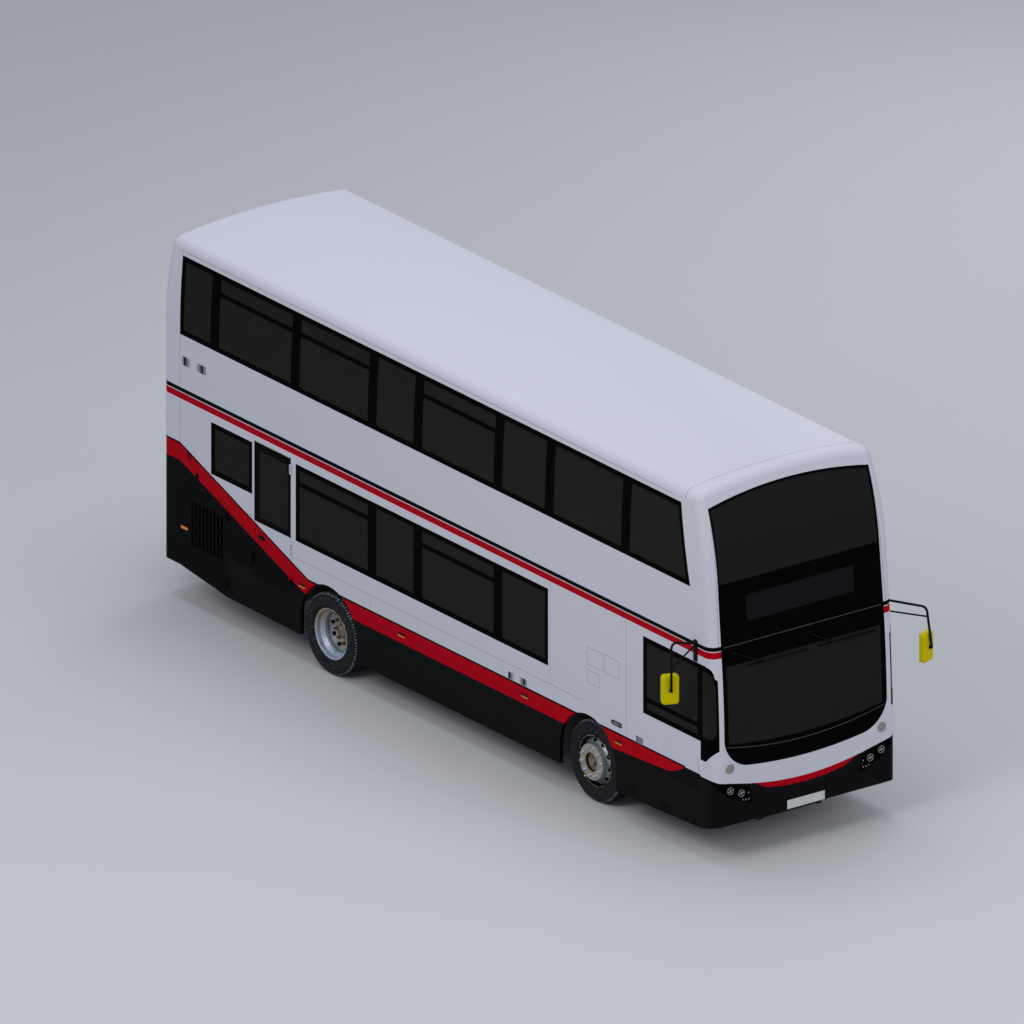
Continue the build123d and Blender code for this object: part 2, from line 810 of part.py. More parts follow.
with BuildPart() as steering_wheel:
    with BuildSketch(Plane.XZ) as ring:
        with Locations((steering_radius, 0)):
            Circle(steering_grip)
    revolve(ring.sketch, axis=Axis.Z)
    bar((0, 0, -90), (0, 0, 0), shaft_radius)
    bar((0, 0, -25), (0, 0, 18), 2 * shaft_radius)
    for turn in (90, 210, 330):
        spoke = Vector(steering_radius, 0, 0).rotate(Axis.Z, turn)
        bar((0, 0, 0), (spoke.X, spoke.Y, 0), 10)
save(Pos(*steering_centre) * Rotation(0, -column_tilt, 0) * steering_wheel.part, "steering_wheel")

# ================================================================ chassis
with BuildPart() as chassis_frame:
    front_end, rear_end = x_front_seam - 40, x_tail + 150
    knee = x_step - 150
    rail_line = [
        (front_end, rail_low[0]),
        (front_end, rail_low[1]),
        (knee, rail_low[1]),
        (knee, rail_high[1]),
        (rear_end, rail_high[1]),
        (rear_end, rail_high[0]),
        (knee - 100, rail_high[0]),
        (knee - 100, rail_low[0]),
    ]
    for side in (-1, 1):
        side_slab(rail_line, outward(side, *rail_y))
    for x in (x_front + 1980, x_front + 700, x_front - 800, x_step + 1500, x_step + 100):
        block(about(x, member_half), about(0, rail_y[0]), rail_low)
    for x in (x_rear + 500, x_rear - 500, x_bulkhead - 120):
        block(about(x, member_half), about(0, rail_y[0]), rail_high)
save(chassis_frame.part, "chassis_frame")

with BuildPart() as engine_block:
    engine_x = (x_tail + 260, x_bulkhead - 200)
    block(engine_x, about(0, rail_y[0] - clearance), (400, engine_deck - 120))
save(engine_block.part, "engine_block")

# ================================================================ axles and steering
hub_end = front_wheel_y + disc_offset
beam_z = about(axle_z, beam_tall)
with BuildPart() as front_axle_beam:
    half_line = [
        (beam_low[1] + 320, beam_low[1]),
        (620, beam_z[1]),
        (kingpin_y, beam_z[1]),
        (kingpin_y, beam_z[0]),
        (700, beam_z[0]),
        (620, beam_low[0]),
    ]
    beam_line = half_line + [(-y, z) for y, z in half_line[::-1]]
    front_slab(beam_line, about(x_front, beam_half))
    for side in (-1, 1):
        pin_y = side * kingpin_y
        bar((x_front, pin_y, beam_z[0]), (x_front, pin_y, beam_z[1]), beam_half)
        bar((x_front, pin_y, 0), (x_front, pin_y, over), kingpin_radius + clearance, Mode.SUBTRACT)
save(front_axle_beam.part, "front_axle_beam")

lug_z = (beam_tall + lug_clear, beam_tall + lug_clear + 34)
arm_x = x_front - arm_back
arm_y = kingpin_y - arm_in
arm_z = (tie_rod_z + 22, tie_rod_z + 52)
for side, name in ((-1, "right"), (1, "left")):
    with BuildPart() as knuckle:
        lug_y = outward(side, kingpin_y - 40, kingpin_y + 80)
        block(about(x_front, 40), lug_y, (axle_z + lug_z[0], axle_z + lug_z[1]))
        block(about(x_front, 40), lug_y, (axle_z - lug_z[1], axle_z - lug_z[0]))
        block(about(x_front, 60), outward(side, kingpin_y + 55, kingpin_y + 80), about(axle_z, lug_z[1]))
        pin_low, pin_high = about(axle_z, lug_z[1])
        bar((x_front, side * kingpin_y, pin_low), (x_front, side * kingpin_y, pin_high), kingpin_radius)
        root, tip = (x_front, side * (kingpin_y + 80), axle_z), (x_front, side * (hub_end - 5), axle_z)
        bar(root, tip, spindle_radius)
        arm_line = [
            (x_front + 40, axle_z - lug_z[0]),
            (x_front + 40, axle_z - lug_z[1]),
            (x_front - 30, axle_z - lug_z[1]),
            (arm_x + 10, arm_z[0]),
            (arm_x - 10, arm_z[0]),
            (arm_x - 10, arm_z[1]),
            (x_front - 60, axle_z - lug_z[0]),
        ]
        side_slab(arm_line, outward(side, arm_y - 10, arm_y + 12))
        bar((arm_x, side * arm_y, arm_z[0]), (arm_x, side * arm_y, arm_z[1]), tie_eye)
        if side < 0:
            bar((arm_x, -arm_y, tie_rod_z - 24), (arm_x, -arm_y, arm_z[0]), tie_pin)
    save(knuckle.part, f"knuckle_{name}")

with BuildPart() as tie_rod:
    bar((arm_x, -arm_y, tie_rod_z), (arm_x, arm_y, tie_rod_z), tie_rod_radius)
    for side in (-1, 1):
        bar((arm_x, side * arm_y, tie_rod_z - 20), (arm_x, side * arm_y, tie_rod_z + 20), tie_eye)
    start, end = (arm_x, -arm_y, tie_rod_z - 21), (arm_x, -arm_y, tie_rod_z + 21)
    bar(start, end, tie_pin + clearance, Mode.SUBTRACT)
save(tie_rod.part, "tie_rod")

rear_hub = rear_wheel_y - disc_offset
with BuildPart() as rear_axle:
    bar((x_rear, -600, axle_z), (x_rear, 600, axle_z), 75)
    bar((x_rear, -rear_hub - 60, axle_z), (x_rear, rear_hub + 60, axle_z), rear_spindle)
    with Locations((x_rear, 0, axle_z)):
        Sphere(185)
    bar((x_rear, 0, axle_z), (x_bulkhead - 150, 0, axle_z + 40), 40)
    for side in (-1, 1):
        block(about(x_rear, 560), outward(side, 360, 460), spring_carrier)
        block(about(x_rear, 60), outward(side, 360, 460), (spring_carrier[0] + 30, axle_z))
save(rear_axle.part, "rear_axle")

with BuildPart() as air_springs:
    spring_top = front_box[2] - wheel_box_wall - clearance
    for side in (-1, 1):
        bar((x_front, side * 700, beam_z[1] + clearance), (x_front, side * 700, spring_top), 80)
        for x in (x_rear - 450, x_rear + 450):
            foot, head = spring_carrier[1] + clearance, rail_high[0] - clearance
            bar((x, side * 410, foot), (x, side * 410, head), 95)
save(air_springs.part, "air_springs")


# ================================================================ wheels
def turned(points):
    """A closed (radius, y) outline turned about the Y axis."""
    with BuildSketch(Plane.XY) as outline:
        with BuildLine():
            Polyline(*points, close=True)
        make_face()
    return revolve(outline.sketch, axis=Axis.Y, mode=Mode.PRIVATE)


def tyre_solid():
    """One tyre centred on the origin, with its axle along Y."""
    half, inner = tyre_width / 2, rim_radius + clearance
    flank, heel = rim_width / 2 - rim_lip, rim_flange + 5
    shoulder, edge = tyre_radius - 22, half - 15
    bulge = (tyre_radius + heel) / 2
    with BuildSketch(Plane.XY) as outline:
        with BuildLine():
            Polyline((heel, -flank), (inner, -flank), (inner, flank), (heel, flank))
            ThreePointArc((heel, flank), (bulge, half), (shoulder, edge))
            crown = [(tyre_radius, edge - 24), (tyre_radius, 24 - edge)]
            Polyline((shoulder, edge), *crown, (shoulder, -edge))
            ThreePointArc((shoulder, -edge), (bulge, -half), (heel, -flank))
        make_face()
    return revolve(outline.sketch, axis=Axis.Y, mode=Mode.PRIVATE)


def rim_solid(hub_bore, hub_depth):
    """One rim with its disc towards +Y and a hub round the axle."""
    half = rim_width / 2
    seat_half = half - rim_lip + clearance
    barrel, well = rim_radius - rim_wall, rim_well - rim_wall
    outline = [
        (rim_radius, -seat_half),
        (rim_radius, seat_half),
        (rim_flange, seat_half),
        (rim_flange, half),
        (barrel, half),
        (barrel, 60),
        (well, 40),
        (well, -40),
        (barrel, -60),
        (barrel, -half),
        (rim_flange, -half),
        (rim_flange, -seat_half),
    ]
    back = disc_offset - disc_thick
    dish = [(hub_bore, back), (hub_bore, disc_offset), (170, disc_offset), (258, 70), (258, 52), (160, back)]
    low = disc_offset - hub_depth
    hub = [
        (hub_bore, low),
        (hub_bore, disc_offset + 30),
        (hub_radius - 10, disc_offset + 30),
        (hub_radius, disc_offset + 20),
        (hub_radius, low),
    ]
    with BuildPart() as rim:
        add(turned(outline))
        add(turned(dish))
        with BuildSketch(Plane.XZ.offset(-disc_offset - 40)) as ring:
            with PolarLocations(hand_hole_circle, hand_holes, start_angle=180 / hand_holes):
                Circle(hand_hole_radius)
        extrude(ring.sketch, amount=200, mode=Mode.SUBTRACT)
        add(turned(hub))
    return rim.part


tyre = tyre_solid()
front_rim = rim_solid(spindle_radius + clearance, 130)
rear_rim = rim_solid(rear_spindle + clearance, 60)
for side, name in ((-1, "right"), (1, "left")):
    out = Rotation(0, 0, 0 if side > 0 else 180)
    back = Rotation(0, 0, 180 if side > 0 else 0)
    front_place = Pos(x_front, side * front_wheel_y, axle_z)
    outer_place = Pos(x_rear, side * rear_wheel_y, axle_z)
    inner_place = Pos(x_rear, side * (rear_wheel_y - twin_spacing), axle_z)
    save(front_place * out * tyre, f"front_tyre_{name}")
    save(front_place * out * front_rim, f"front_rim_{name}")
    with BuildPart() as tyres:
        add(outer_place * out * tyre)
        add(inner_place * out * tyre)
    save(tyres.part, f"rear_tyres_{name}")
    with BuildPart() as rims:
        add(outer_place * back * rear_rim)
        add(inner_place * out * rear_rim)
    save(rims.part, f"rear_rims_{name}")

# ================================================================ doors and covers
side_pin_y = -half_width - hinge_radius - hinge_stand
cover_pin = (x_tail - hinge_radius - hinge_stand, engine_cover_z[1] - door_gap / 2)
eye_half = hinge_long / 2


def shrink(pair):
    """A pair of values drawn in by the door gap at both ends."""
    return (pair[0] + door_gap, pair[1] - door_gap)


def side_eyes(edge, heights):
    """A door's half of each hinge: an eye joined to the door's front edge, bored for the pin."""
    for z in heights:
        block((edge - hinge_leaf, edge), (side_pin_y - hinge_radius, -half_width), about(z, eye_half))
        bar((edge, side_pin_y, z - eye_half), (edge, side_pin_y, z + eye_half), hinge_radius)
    for z in heights:
        bore = hinge_pin + clearance
        bar((edge, side_pin_y, z - hinge_long), (edge, side_pin_y, z + hinge_long), bore, Mode.SUBTRACT)


def side_lugs(edge, heights):
    """The body's half of each hinge: two lugs that carry the pin."""
    reach = eye_half + lug_gap
    for z in heights:
        for way in (-1, 1):
            span = sorted((z + way * reach, z + way * (reach + lug_long)))
            block((edge, edge + hinge_leaf), (side_pin_y - hinge_radius, -half_width), span)
            bar((edge, side_pin_y, span[0]), (edge, side_pin_y, span[1]), hinge_radius)
        bar((edge, side_pin_y, z - reach), (edge, side_pin_y, z + reach), hinge_pin)


exit_edge, radiator_edge, filler_edge = (x[1] - door_gap / 2 for x in (exit_door_x, radiator_x, filler_x))
with BuildPart() as emergency_door:
    add(shell.part)
    block(shrink(exit_door_x), cutter_y[-1], shrink(exit_door_z), Mode.INTERSECT)
    block(exit_glass_x, cutter_y[-1], lower_z, Mode.SUBTRACT)
    side_eyes(exit_edge, exit_hinges)
save(emergency_door.part, "emergency_door")
with BuildPart() as emergency_door_glass:
    add(glass_shell.part)
    block(exit_glass_x, cutter_y[-1], lower_z, Mode.INTERSECT)
save(emergency_door_glass.part, "emergency_door_glass")

with BuildPart() as radiator_door:
    add(shell.part)
    block(shrink(radiator_x), cutter_y[-1], shrink(radiator_z), Mode.INTERSECT)
    slat_x = radiator_x[0] + 190
    for slot in range(slat_count):
        x = slat_x + slot * slat_pitch
        block((x, x + slat_gap), cutter_y[-1], slat_z, Mode.SUBTRACT)
    side_eyes(radiator_edge, radiator_hinges)
save(radiator_door.part, "radiator_door")

with BuildPart() as filler_flap:
    add(shell.part)
    block(shrink(filler_x), cutter_y[-1], shrink(filler_z), Mode.INTERSECT)
    side_eyes(filler_edge, filler_hinges)
save(filler_flap.part, "filler_flap")

with BuildPart() as engine_cover:
    add(shell.part)
    block(tail_x, shrink(about(0, cover_half)), shrink(engine_cover_z), Mode.INTERSECT)
    for row in range(louvre_count):
        z = engine_cover_z[0] + 160 + row * louvre_pitch
        block(tail_x, about(0, louvre_half), (z, z + slat_gap), Mode.SUBTRACT)
    pin_x, pin_z = cover_pin
    for y in cover_hinges:
        block((pin_x - hinge_radius, x_tail), about(y, eye_half), (pin_z - hinge_leaf, pin_z))
        bar((pin_x, y - eye_half, pin_z), (pin_x, y + eye_half, pin_z), hinge_radius)
    for y in cover_hinges:
        bore = hinge_pin + clearance
        bar((pin_x, y - hinge_long, pin_z), (pin_x, y + hinge_long, pin_z), bore, Mode.SUBTRACT)
save(engine_cover.part, "engine_cover")

with BuildPart() as hinge_lugs:
    side_lugs(exit_edge, exit_hinges)
    side_lugs(radiator_edge, radiator_hinges)
    side_lugs(filler_edge, filler_hinges)
    reach = eye_half + lug_gap
    for y in cover_hinges:
        for way in (-1, 1):
            span = sorted((y + way * reach, y + way * (reach + lug_long)))
            block((pin_x - hinge_radius, x_tail), span, (pin_z, pin_z + hinge_leaf))
            bar((pin_x, span[0], pin_z), (pin_x, span[1], pin_z), hinge_radius)
        bar((pin_x, y - reach, pin_z), (pin_x, y + reach, pin_z), hinge_pin)
save(hinge_lugs.part, "hinge_lugs")

# Entrance: two leaves, each on a post just inside its jamb, that turn inward.
leaf_z = (low_floor + 10, entrance_head - door_gap)
leaf_width = (entrance_wide - leaf_gap) / 2 - door_gap
leaf_y = (half_width - leaf_recess - leaf_thick, half_width - leaf_recess)
for name, jamb, way in (("rear", entrance_x[0] + door_gap, 1), ("front", entrance_x[1] - door_gap, -1)):
    span = sorted((jamb, jamb + way * leaf_width))
    window = (span[0] + leaf_border, span[1] - leaf_border)
    window_z = (leaf_z[0] + 2 * leaf_border, leaf_z[1] - leaf_border)
    post = (jamb + way * post_in, post_y)
    with BuildPart() as leaf:
        block(span, leaf_y, leaf_z)
        block(window, (leaf_y[0] - 1, leaf_y[1] + 1), window_z, Mode.SUBTRACT)
        bar((*post, leaf_z[0]), (*post, leaf_z[1]), post_radius)
        bar((*post, low_floor - 20), (*post, leaf_z[0]), post_pin)
        for z in (leaf_z[0] + 100, leaf_z[1] - 60):
            block(about(post[0], 12), (post_y, leaf_y[0]), about(z, 15))
    save(leaf.part, f"entrance_leaf_{name}")
    with BuildPart() as pane:
        block(window, (leaf_y[0] + 14, leaf_y[0] + 14 + glass_thick), window_z)
    save(pane.part, f"entrance_glass_{name}")

# ================================================================ outside fittings
head_reach = head_wide / 2 * cos(radians(head_turn)) - 20  # from a clamp out to the rounded edge of its head
right_foot = (x_front + 2000, -half_width - foot_thick + 4, deck_split + 45)
right_elbow = (x_front + 1970, -mirror_reach + head_reach, deck_split + 122)
left_foot = (x_front + 2090, half_width + foot_thick - 4, deck_split - 15)
left_elbow = (x_nose + mirror_ahead - 14, mirror_reach - head_reach - 75, deck_split - 10)


def mirror_arm(foot, elbow, low, brace_foot_z, brace_z, plate_low, side):
    """A tube from its foot out to the elbow and down to its clamp, with a brace below it."""
    with BuildLine() as route:
        FilletPolyline(foot, elbow, low, radius=mirror_bend)
    with BuildSketch(Plane(origin=foot, z_dir=Vector(*elbow) - Vector(*foot))) as ring:
        Circle(mirror_tube)
    sweep(ring.sketch, path=route.line)
    share = (elbow[2] - brace_z) / (elbow[2] - low[2])
    meet = [high + share * (end - high) for high, end in zip(elbow, low)]
    bar((foot[0], foot[1], brace_foot_z), meet, mirror_brace)
    foot_y = outward(side, half_width, half_width + foot_thick)
    block(about(foot[0], 30), foot_y, (plate_low, foot[2] + 40))
    bar(low, clamp_end(low, side), clamp_radius)


def clamp_end(low, side):
    """Where a mirror's clamp meets the middle of its head, behind the tube."""
    turn = radians(side * head_turn)
    return (low[0] - clamp_reach * cos(turn), low[1] - clamp_reach * sin(turn), low[2])


right_low = (right_elbow[0], right_elbow[1], mirror_z[-1])
left_low = (left_elbow[0], left_elbow[1] + 75, mirror_z[1])
with BuildPart() as mirror_arms:
    brace_low = right_foot[2] - 15
    mirror_arm(right_foot, right_elbow, right_low, brace_low, right_elbow[2] - 318, right_foot[2] - 210, -1)
    brace_low = left_foot[2] - 130
    mirror_arm(left_foot, left_elbow, left_low, brace_low, left_elbow[2] - 120, brace_low - 40, 1)
save(mirror_arms.part, "mirror_arms")

with BuildPart() as mirror_head:
    with BuildSketch(Plane.YZ) as head_face:
        RectangleRounded(head_wide, head_tall, 38)
    extrude(head_face.sketch, amount=-head_thick)
    fillet(mirror_head.faces().sort_by(Axis.X)[-1].edges(), 24)
with BuildPart() as mirror_heads:
    for low, side in ((right_low, -1), (left_low, 1)):
        add(Pos(*clamp_end(low, side)) * Rotation(0, 0, side * head_turn) * mirror_head.part)
save(mirror_heads.part, "mirror_heads")

with BuildPart() as number_plates:
    plate_y = about(0, plate_wide / 2)
    block((x_nose, x_nose + plate_thick), plate_y, about(front_plate_z, plate_tall / 2))
    block((x_tail - plate_thick, x_tail), plate_y, about(rear_plate_z, plate_tall / 2))
save(number_plates.part, "number_plates")

with BuildPart() as rear_lamps:
    for side in (-1, 1):
        for z in (1650, 1800, 1950, 2100):
            bar((x_tail, side * 1080, z), (x_tail - 12, side * 1080, z), 60)
save(rear_lamps.part, "rear_lamps")

marker_places = (x_rear - 490, x_rear + 1350, x_front - 1170, x_front + 570)
with BuildPart() as marker_lamps:
    for side in (-1, 1):
        y = outward(side, half_width, half_width + lamp_stand)
        for x in marker_places:
            block(about(x, marker_half), y, about(marker_z, marker_tall / 2))
        with BuildSketch(Plane.XZ.offset(-y[1])) as repeater:
            with Locations((repeater_x, repeater_z)):
                SlotOverall(repeater_long, marker_tall)
        extrude(repeater.sketch, amount=lamp_stand)
        lamp_y = side * round_lamp_y
        bar((x_nose, lamp_y, round_lamp_z), (x_nose + 10, lamp_y, round_lamp_z), round_lamp)
save(marker_lamps.part, "marker_lamps")
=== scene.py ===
"""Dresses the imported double-decker bus: paint, glazing, tyres, lamps, seats and trim round its frame."""

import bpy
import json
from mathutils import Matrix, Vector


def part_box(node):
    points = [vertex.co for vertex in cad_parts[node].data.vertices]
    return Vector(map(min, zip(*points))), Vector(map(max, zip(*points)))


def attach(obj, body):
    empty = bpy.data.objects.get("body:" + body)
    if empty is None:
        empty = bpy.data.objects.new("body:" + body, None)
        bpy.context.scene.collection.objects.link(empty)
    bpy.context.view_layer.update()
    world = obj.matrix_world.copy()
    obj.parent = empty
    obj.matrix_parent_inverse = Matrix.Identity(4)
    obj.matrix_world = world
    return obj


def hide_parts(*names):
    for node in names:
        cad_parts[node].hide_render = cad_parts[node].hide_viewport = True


bl_info = {
    "name": "Double-decker bus dresser",
    "version": (1, 0, 0),
    "blender": (4, 5, 0),
    "location": "3D View > Sidebar > Bus",
    "description": "Paints a low-floor double-decker bus and adds its tyres, lamps, seats and trim",
    "category": "Object",
}

import json
from functools import reduce
from math import cos, pi, radians, sin, tau

import bmesh
import bpy
from mathutils import Matrix, Vector
from mathutils.bvhtree import BVHTree

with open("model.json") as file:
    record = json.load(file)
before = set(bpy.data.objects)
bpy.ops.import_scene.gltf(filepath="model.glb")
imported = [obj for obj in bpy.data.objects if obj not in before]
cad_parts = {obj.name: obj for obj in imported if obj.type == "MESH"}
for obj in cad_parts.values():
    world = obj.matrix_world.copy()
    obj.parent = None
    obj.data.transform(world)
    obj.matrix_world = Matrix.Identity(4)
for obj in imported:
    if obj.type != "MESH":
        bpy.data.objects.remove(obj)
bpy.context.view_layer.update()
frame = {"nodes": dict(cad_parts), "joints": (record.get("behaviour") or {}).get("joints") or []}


# ---------------------------------------------------------------- places read from the frame
def joint_place(name):
    """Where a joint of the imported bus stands, in metres."""
    joint = next(j for j in frame["joints"] if j["name"] == name)
    return Vector(joint["pos_m"])


REAR_AXLE = joint_place("rear_wheels_right_spin")
FRONT_AXLE = joint_place("front_wheel_right_spin")
SIDE_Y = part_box("skirts")[1].y
NOSE_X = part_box("front_bumper")[1].x
TAIL_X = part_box("rear_wall")[0].x
SIDES = (("right", -1), ("left", 1))


# ---------------------------------------------------------------- sizes and colours a user may change
def colour(name, description, value):
    """A colour property with its name, description and default."""
    return bpy.props.FloatVectorProperty(
        name=name, description=description, default=value, size=3, subtype="COLOR", min=0.0, max=1.0
    )


def length(name, description, value):
    """A length property in metres with its name, description and default."""
    return bpy.props.FloatProperty(name=name, description=description, default=value, min=0.0, unit="LENGTH")


class BusPaint(bpy.types.PropertyGroup):
    """Colours of the paint, glass, rubber and trim."""

    white: colour("Body white", "Main coach paint of sides, front and roof", (0.60, 0.60, 0.66))
    red: colour("Stripe red", "Waist and skirt stripes", (0.42, 0.0010, 0.0085))
    black: colour("Skirt black", "Skirts, bumper and covers", (0.0046, 0.0046, 0.0048))
    gloss_black: colour("Gloss black", "Window surrounds and front mask", (0.0022, 0.0020, 0.0019))
    glass: colour("Glass tint", "Side, front and rear glass", (0.0142, 0.0142, 0.0126))
    yellow: colour("Mirror yellow", "Mirror housings", (0.58, 0.49, 0.001))
    rubber: colour("Tyre rubber", "Tyres", (0.012, 0.012, 0.013))
    rim: colour("Wheel paint", "Wheel discs and rims", (0.44, 0.36, 0.27))
    orange: colour("Marker orange", "Side markers and indicators", (0.62, 0.17, 0.006))
    lamp_red: colour("Lamp red", "Tail and brake lamps", (0.45, 0.005, 0.005))
    seat: colour("Seat cloth", "Moquette of the seats", (0.055, 0.012, 0.03))


class BusSizes(bpy.types.PropertyGroup):
    """Heights of the stripes and sizes of the trim."""

    waist_red_low: length("Waist red from", "Lower edge of the waist's red stripe", 2.43)
    waist_red_high: length("Waist red to", "Upper edge of the waist's red stripe", 2.508)
    waist_black_high: length("Waist black to", "Upper edge of the waist's black stripe", 2.566)
    skirt_top: length("Skirt top", "Top of the dark skirt", 0.81)
    red_top: length("Lower red to", "Upper edge of the lower red stripe", 1.0)
    line_top: length("Lower black to", "Upper edge of the thin black line", 1.022)
    rear_red_low: length("Rear red from", "Lower edge of the red stripe at the tail", 1.69)
    rear_red_high: length("Rear red to", "Upper edge of the red stripe at the tail", 1.887)
    seam: length("Panel seam", "Half the width of a painted panel seam", 0.003)
    nut: length("Wheel nut", "Width across a wheel nut's flats", 0.034)
    tread: length("Tread depth", "Depth of the tyres' grooves", 0.012)
    pole: length("Grab pole", "Radius of the grab poles", 0.0175)


def paint():
    """The colours set in the sidebar."""
    return bpy.context.scene.bus_paint


def sizes():
    """The sizes set in the sidebar."""
    return bpy.context.scene.bus_sizes


# ---------------------------------------------------------------- shader nodes
def math_node(operation, swapped=False):
    """A method that places a Math node over a wire and the other value."""
    def place(self, *others):
        return self.nodes.math(operation, *others, self) if swapped else self.nodes.math(operation, self, *others)
    return place


class Wire:
    """A node's output; arithmetic and comparisons on it place Math nodes."""

    def __init__(self, nodes, socket):
        self.nodes, self.socket = nodes, socket

    __add__ = math_node("ADD")
    __sub__ = math_node("SUBTRACT")
    __rsub__ = math_node("SUBTRACT", swapped=True)
    __mul__ = math_node("MULTIPLY")
    __truediv__ = math_node("DIVIDE")
    __pow__ = math_node("POWER")
    __lt__ = math_node("LESS_THAN")
    __gt__ = math_node("GREATER_THAN")
    __abs__ = math_node("ABSOLUTE")
    max = math_node("MAXIMUM")
    min = math_node("MINIMUM")
    sine = math_node("SINE")
    root = math_node("SQRT")
    angle_from = math_node("ARCTAN2")


class Nodes:
    """Places shader nodes in one tree and links them."""

    def __init__(self, tree):
        self.tree = tree
        self.count = 0

    def place(self, kind, **settings):
        node = self.tree.nodes.new(kind)
        node.location = (180 * (self.count % 12), -260 * (self.count // 12))
        self.count += 1
        for key, value in settings.items():
            setattr(node, key, value)
        return node

    def feed(self, socket, value):
        value = getattr(value, "socket", value)
        if isinstance(value, bpy.types.NodeSocket):
            self.tree.links.new(value, socket)
        else:
            socket.default_value = value

    def math(self, operation, *values):
        node = self.place("ShaderNodeMath", operation=operation)
        for socket, value in zip(node.inputs, values):
            self.feed(socket, value)
        return Wire(self, node.outputs[0])

    def mix(self, mask, first, second):
        node = self.place("ShaderNodeMix", data_type="RGBA")
        self.feed(node.inputs["Factor"], mask)
        self.feed(node.inputs["A"], first)
        self.feed(node.inputs["B"], second)
        return Wire(self, node.outputs["Result"])

    def call(self, name, **values):
        node = self.place("ShaderNodeGroup", node_tree=bpy.data.node_groups[name])
        for key, value in values.items():
            self.feed(node.inputs[key], value)
        return self.wires(node)

    def noise(self, vector, scale, detail=3.0, roughness=0.5):
        node = self.place("ShaderNodeTexNoise")
        self.feed(node.inputs["Vector"], vector)
        node.inputs["Scale"].default_value = scale
        node.inputs["Detail"].default_value = detail
        node.inputs["Roughness"].default_value = roughness
        return Wire(self, node.outputs["Fac"])

    def ramp(self, value, low, high):
        node = self.place("ShaderNodeMapRange", clamp=True)
        self.feed(node.inputs["Value"], value)
        node.inputs["From Min"].default_value = low
        node.inputs["From Max"].default_value = high
        return Wire(self, node.outputs["Result"])

    def wires(self, node):
        """A node's outputs by name."""
        return {socket.name: Wire(self, socket) for socket in node.outputs}

    def split(self, vector):
        """The x, y and z of a vector."""
        node = self.place("ShaderNodeSeparateXYZ")
        self.feed(node.inputs[0], vector)
        return self.wires(node).values()

    def object_point(self):
        """Object coordinates, whole and as x, y and z."""
        point = Wire(self, self.place("ShaderNodeTexCoord").outputs["Object"])
        return point, *self.split(point)


def new_group(name, inputs, outputs):
    """An empty effect group with its sockets; returns its nodes, inputs and output node."""
    tree = bpy.data.node_groups.new(name, "ShaderNodeTree")
    for label, kind, value in inputs:
        socket = tree.interface.new_socket(label, in_out="INPUT", socket_type=f"NodeSocket{kind}")
        if value is not None:
            socket.default_value = value
    for label, kind in outputs:
        tree.interface.new_socket(label, in_out="OUTPUT", socket_type=f"NodeSocket{kind}")
    nodes = Nodes(tree)
    start = nodes.place("NodeGroupInput")
    end = nodes.place("NodeGroupOutput")
    return nodes, nodes.wires(start), end.inputs


def build_band_group():
    """A mask that is 1 where a value lies between two limits."""
    nodes, given, out = new_group(
        "between",
        (("Value", "Float", 0.0), ("Low", "Float", 0.0), ("High", "Float", 1.0)),
        (("Mask", "Float"),),
    )
    above = given["Value"] > given["Low"]
    below = given["Value"] < given["High"]
    nodes.feed(out["Mask"], above * below)


def build_coat_group():
    """Sprayed coach paint: faint orange peel, road film low down and slight colour drift."""
    nodes, given, out = new_group(
        "sprayed_coat",
        (("Vector", "Vector", None), ("Height", "Float", 0.0), ("Film", "Float", 0.5)),
        (("Peel", "Float"), ("Film", "Float"), ("Drift", "Float"), ("Roughness", "Float")),
    )
    peel = nodes.noise(given["Vector"], 420.0, 2.0)
    drift = nodes.noise(given["Vector"], 1.7, 2.0)
    streaks = nodes.place("ShaderNodeMapping")
    streaks.inputs["Scale"].default_value = (9.0, 9.0, 0.9)
    nodes.feed(streaks.inputs["Vector"], given["Vector"])
    dirt = nodes.noise(streaks.outputs[0], 1.0, 5.0, 0.62)
    low = nodes.ramp(given["Height"], 1.25, 0.28)
    film = low * nodes.ramp(dirt, 0.35, 0.8) * given["Film"]
    nodes.feed(out["Peel"], peel)
    nodes.feed(out["Film"], film)
    nodes.feed(out["Drift"], drift)
    nodes.feed(out["Roughness"], film * 0.35 + 0.26)


def build_grain_group():
    """Moulded rubber or plastic: fine grain, larger mottling and settled dust."""
    nodes, given, out = new_group(
        "moulded_grain",
        (("Vector", "Vector", None), ("Scale", "Float", 900.0), ("Dust", "Float", 0.2)),
        (("Grain", "Float"), ("Dust", "Float"), ("Mottle", "Float")),
    )
    fine = nodes.place("ShaderNodeTexNoise")
    nodes.feed(fine.inputs["Vector"], given["Vector"])
    nodes.feed(fine.inputs["Scale"], given["Scale"])
    mottle = nodes.noise(given["Vector"], 14.0, 4.0)
    dust = nodes.ramp(mottle, 0.4, 0.75) * given["Dust"]
    nodes.feed(out["Grain"], fine.outputs["Fac"])
    nodes.feed(out["Dust"], dust)
    nodes.feed(out["Mottle"], mottle)


def build_worn_metal_group():
    """Cast or painted metal: flaked paint, rust specks and a slightly rough face."""
    nodes, given, out = new_group(
        "worn_metal",
        (("Vector", "Vector", None), ("Wear", "Float", 0.3)),
        (("Wear", "Float"), ("Relief", "Float"), ("Roughness", "Float")),
    )
    patches = nodes.noise(given["Vector"], 11.0, 6.0, 0.7)
    specks = nodes.noise(given["Vector"], 160.0, 3.0)
    wear = nodes.ramp(patches, 0.52, 0.72) * given["Wear"]
    nodes.feed(out["Wear"], wear)
    nodes.feed(out["Relief"], specks * 0.4 + wear)
    nodes.feed(out["Roughness"], specks * 0.25 + 0.4)


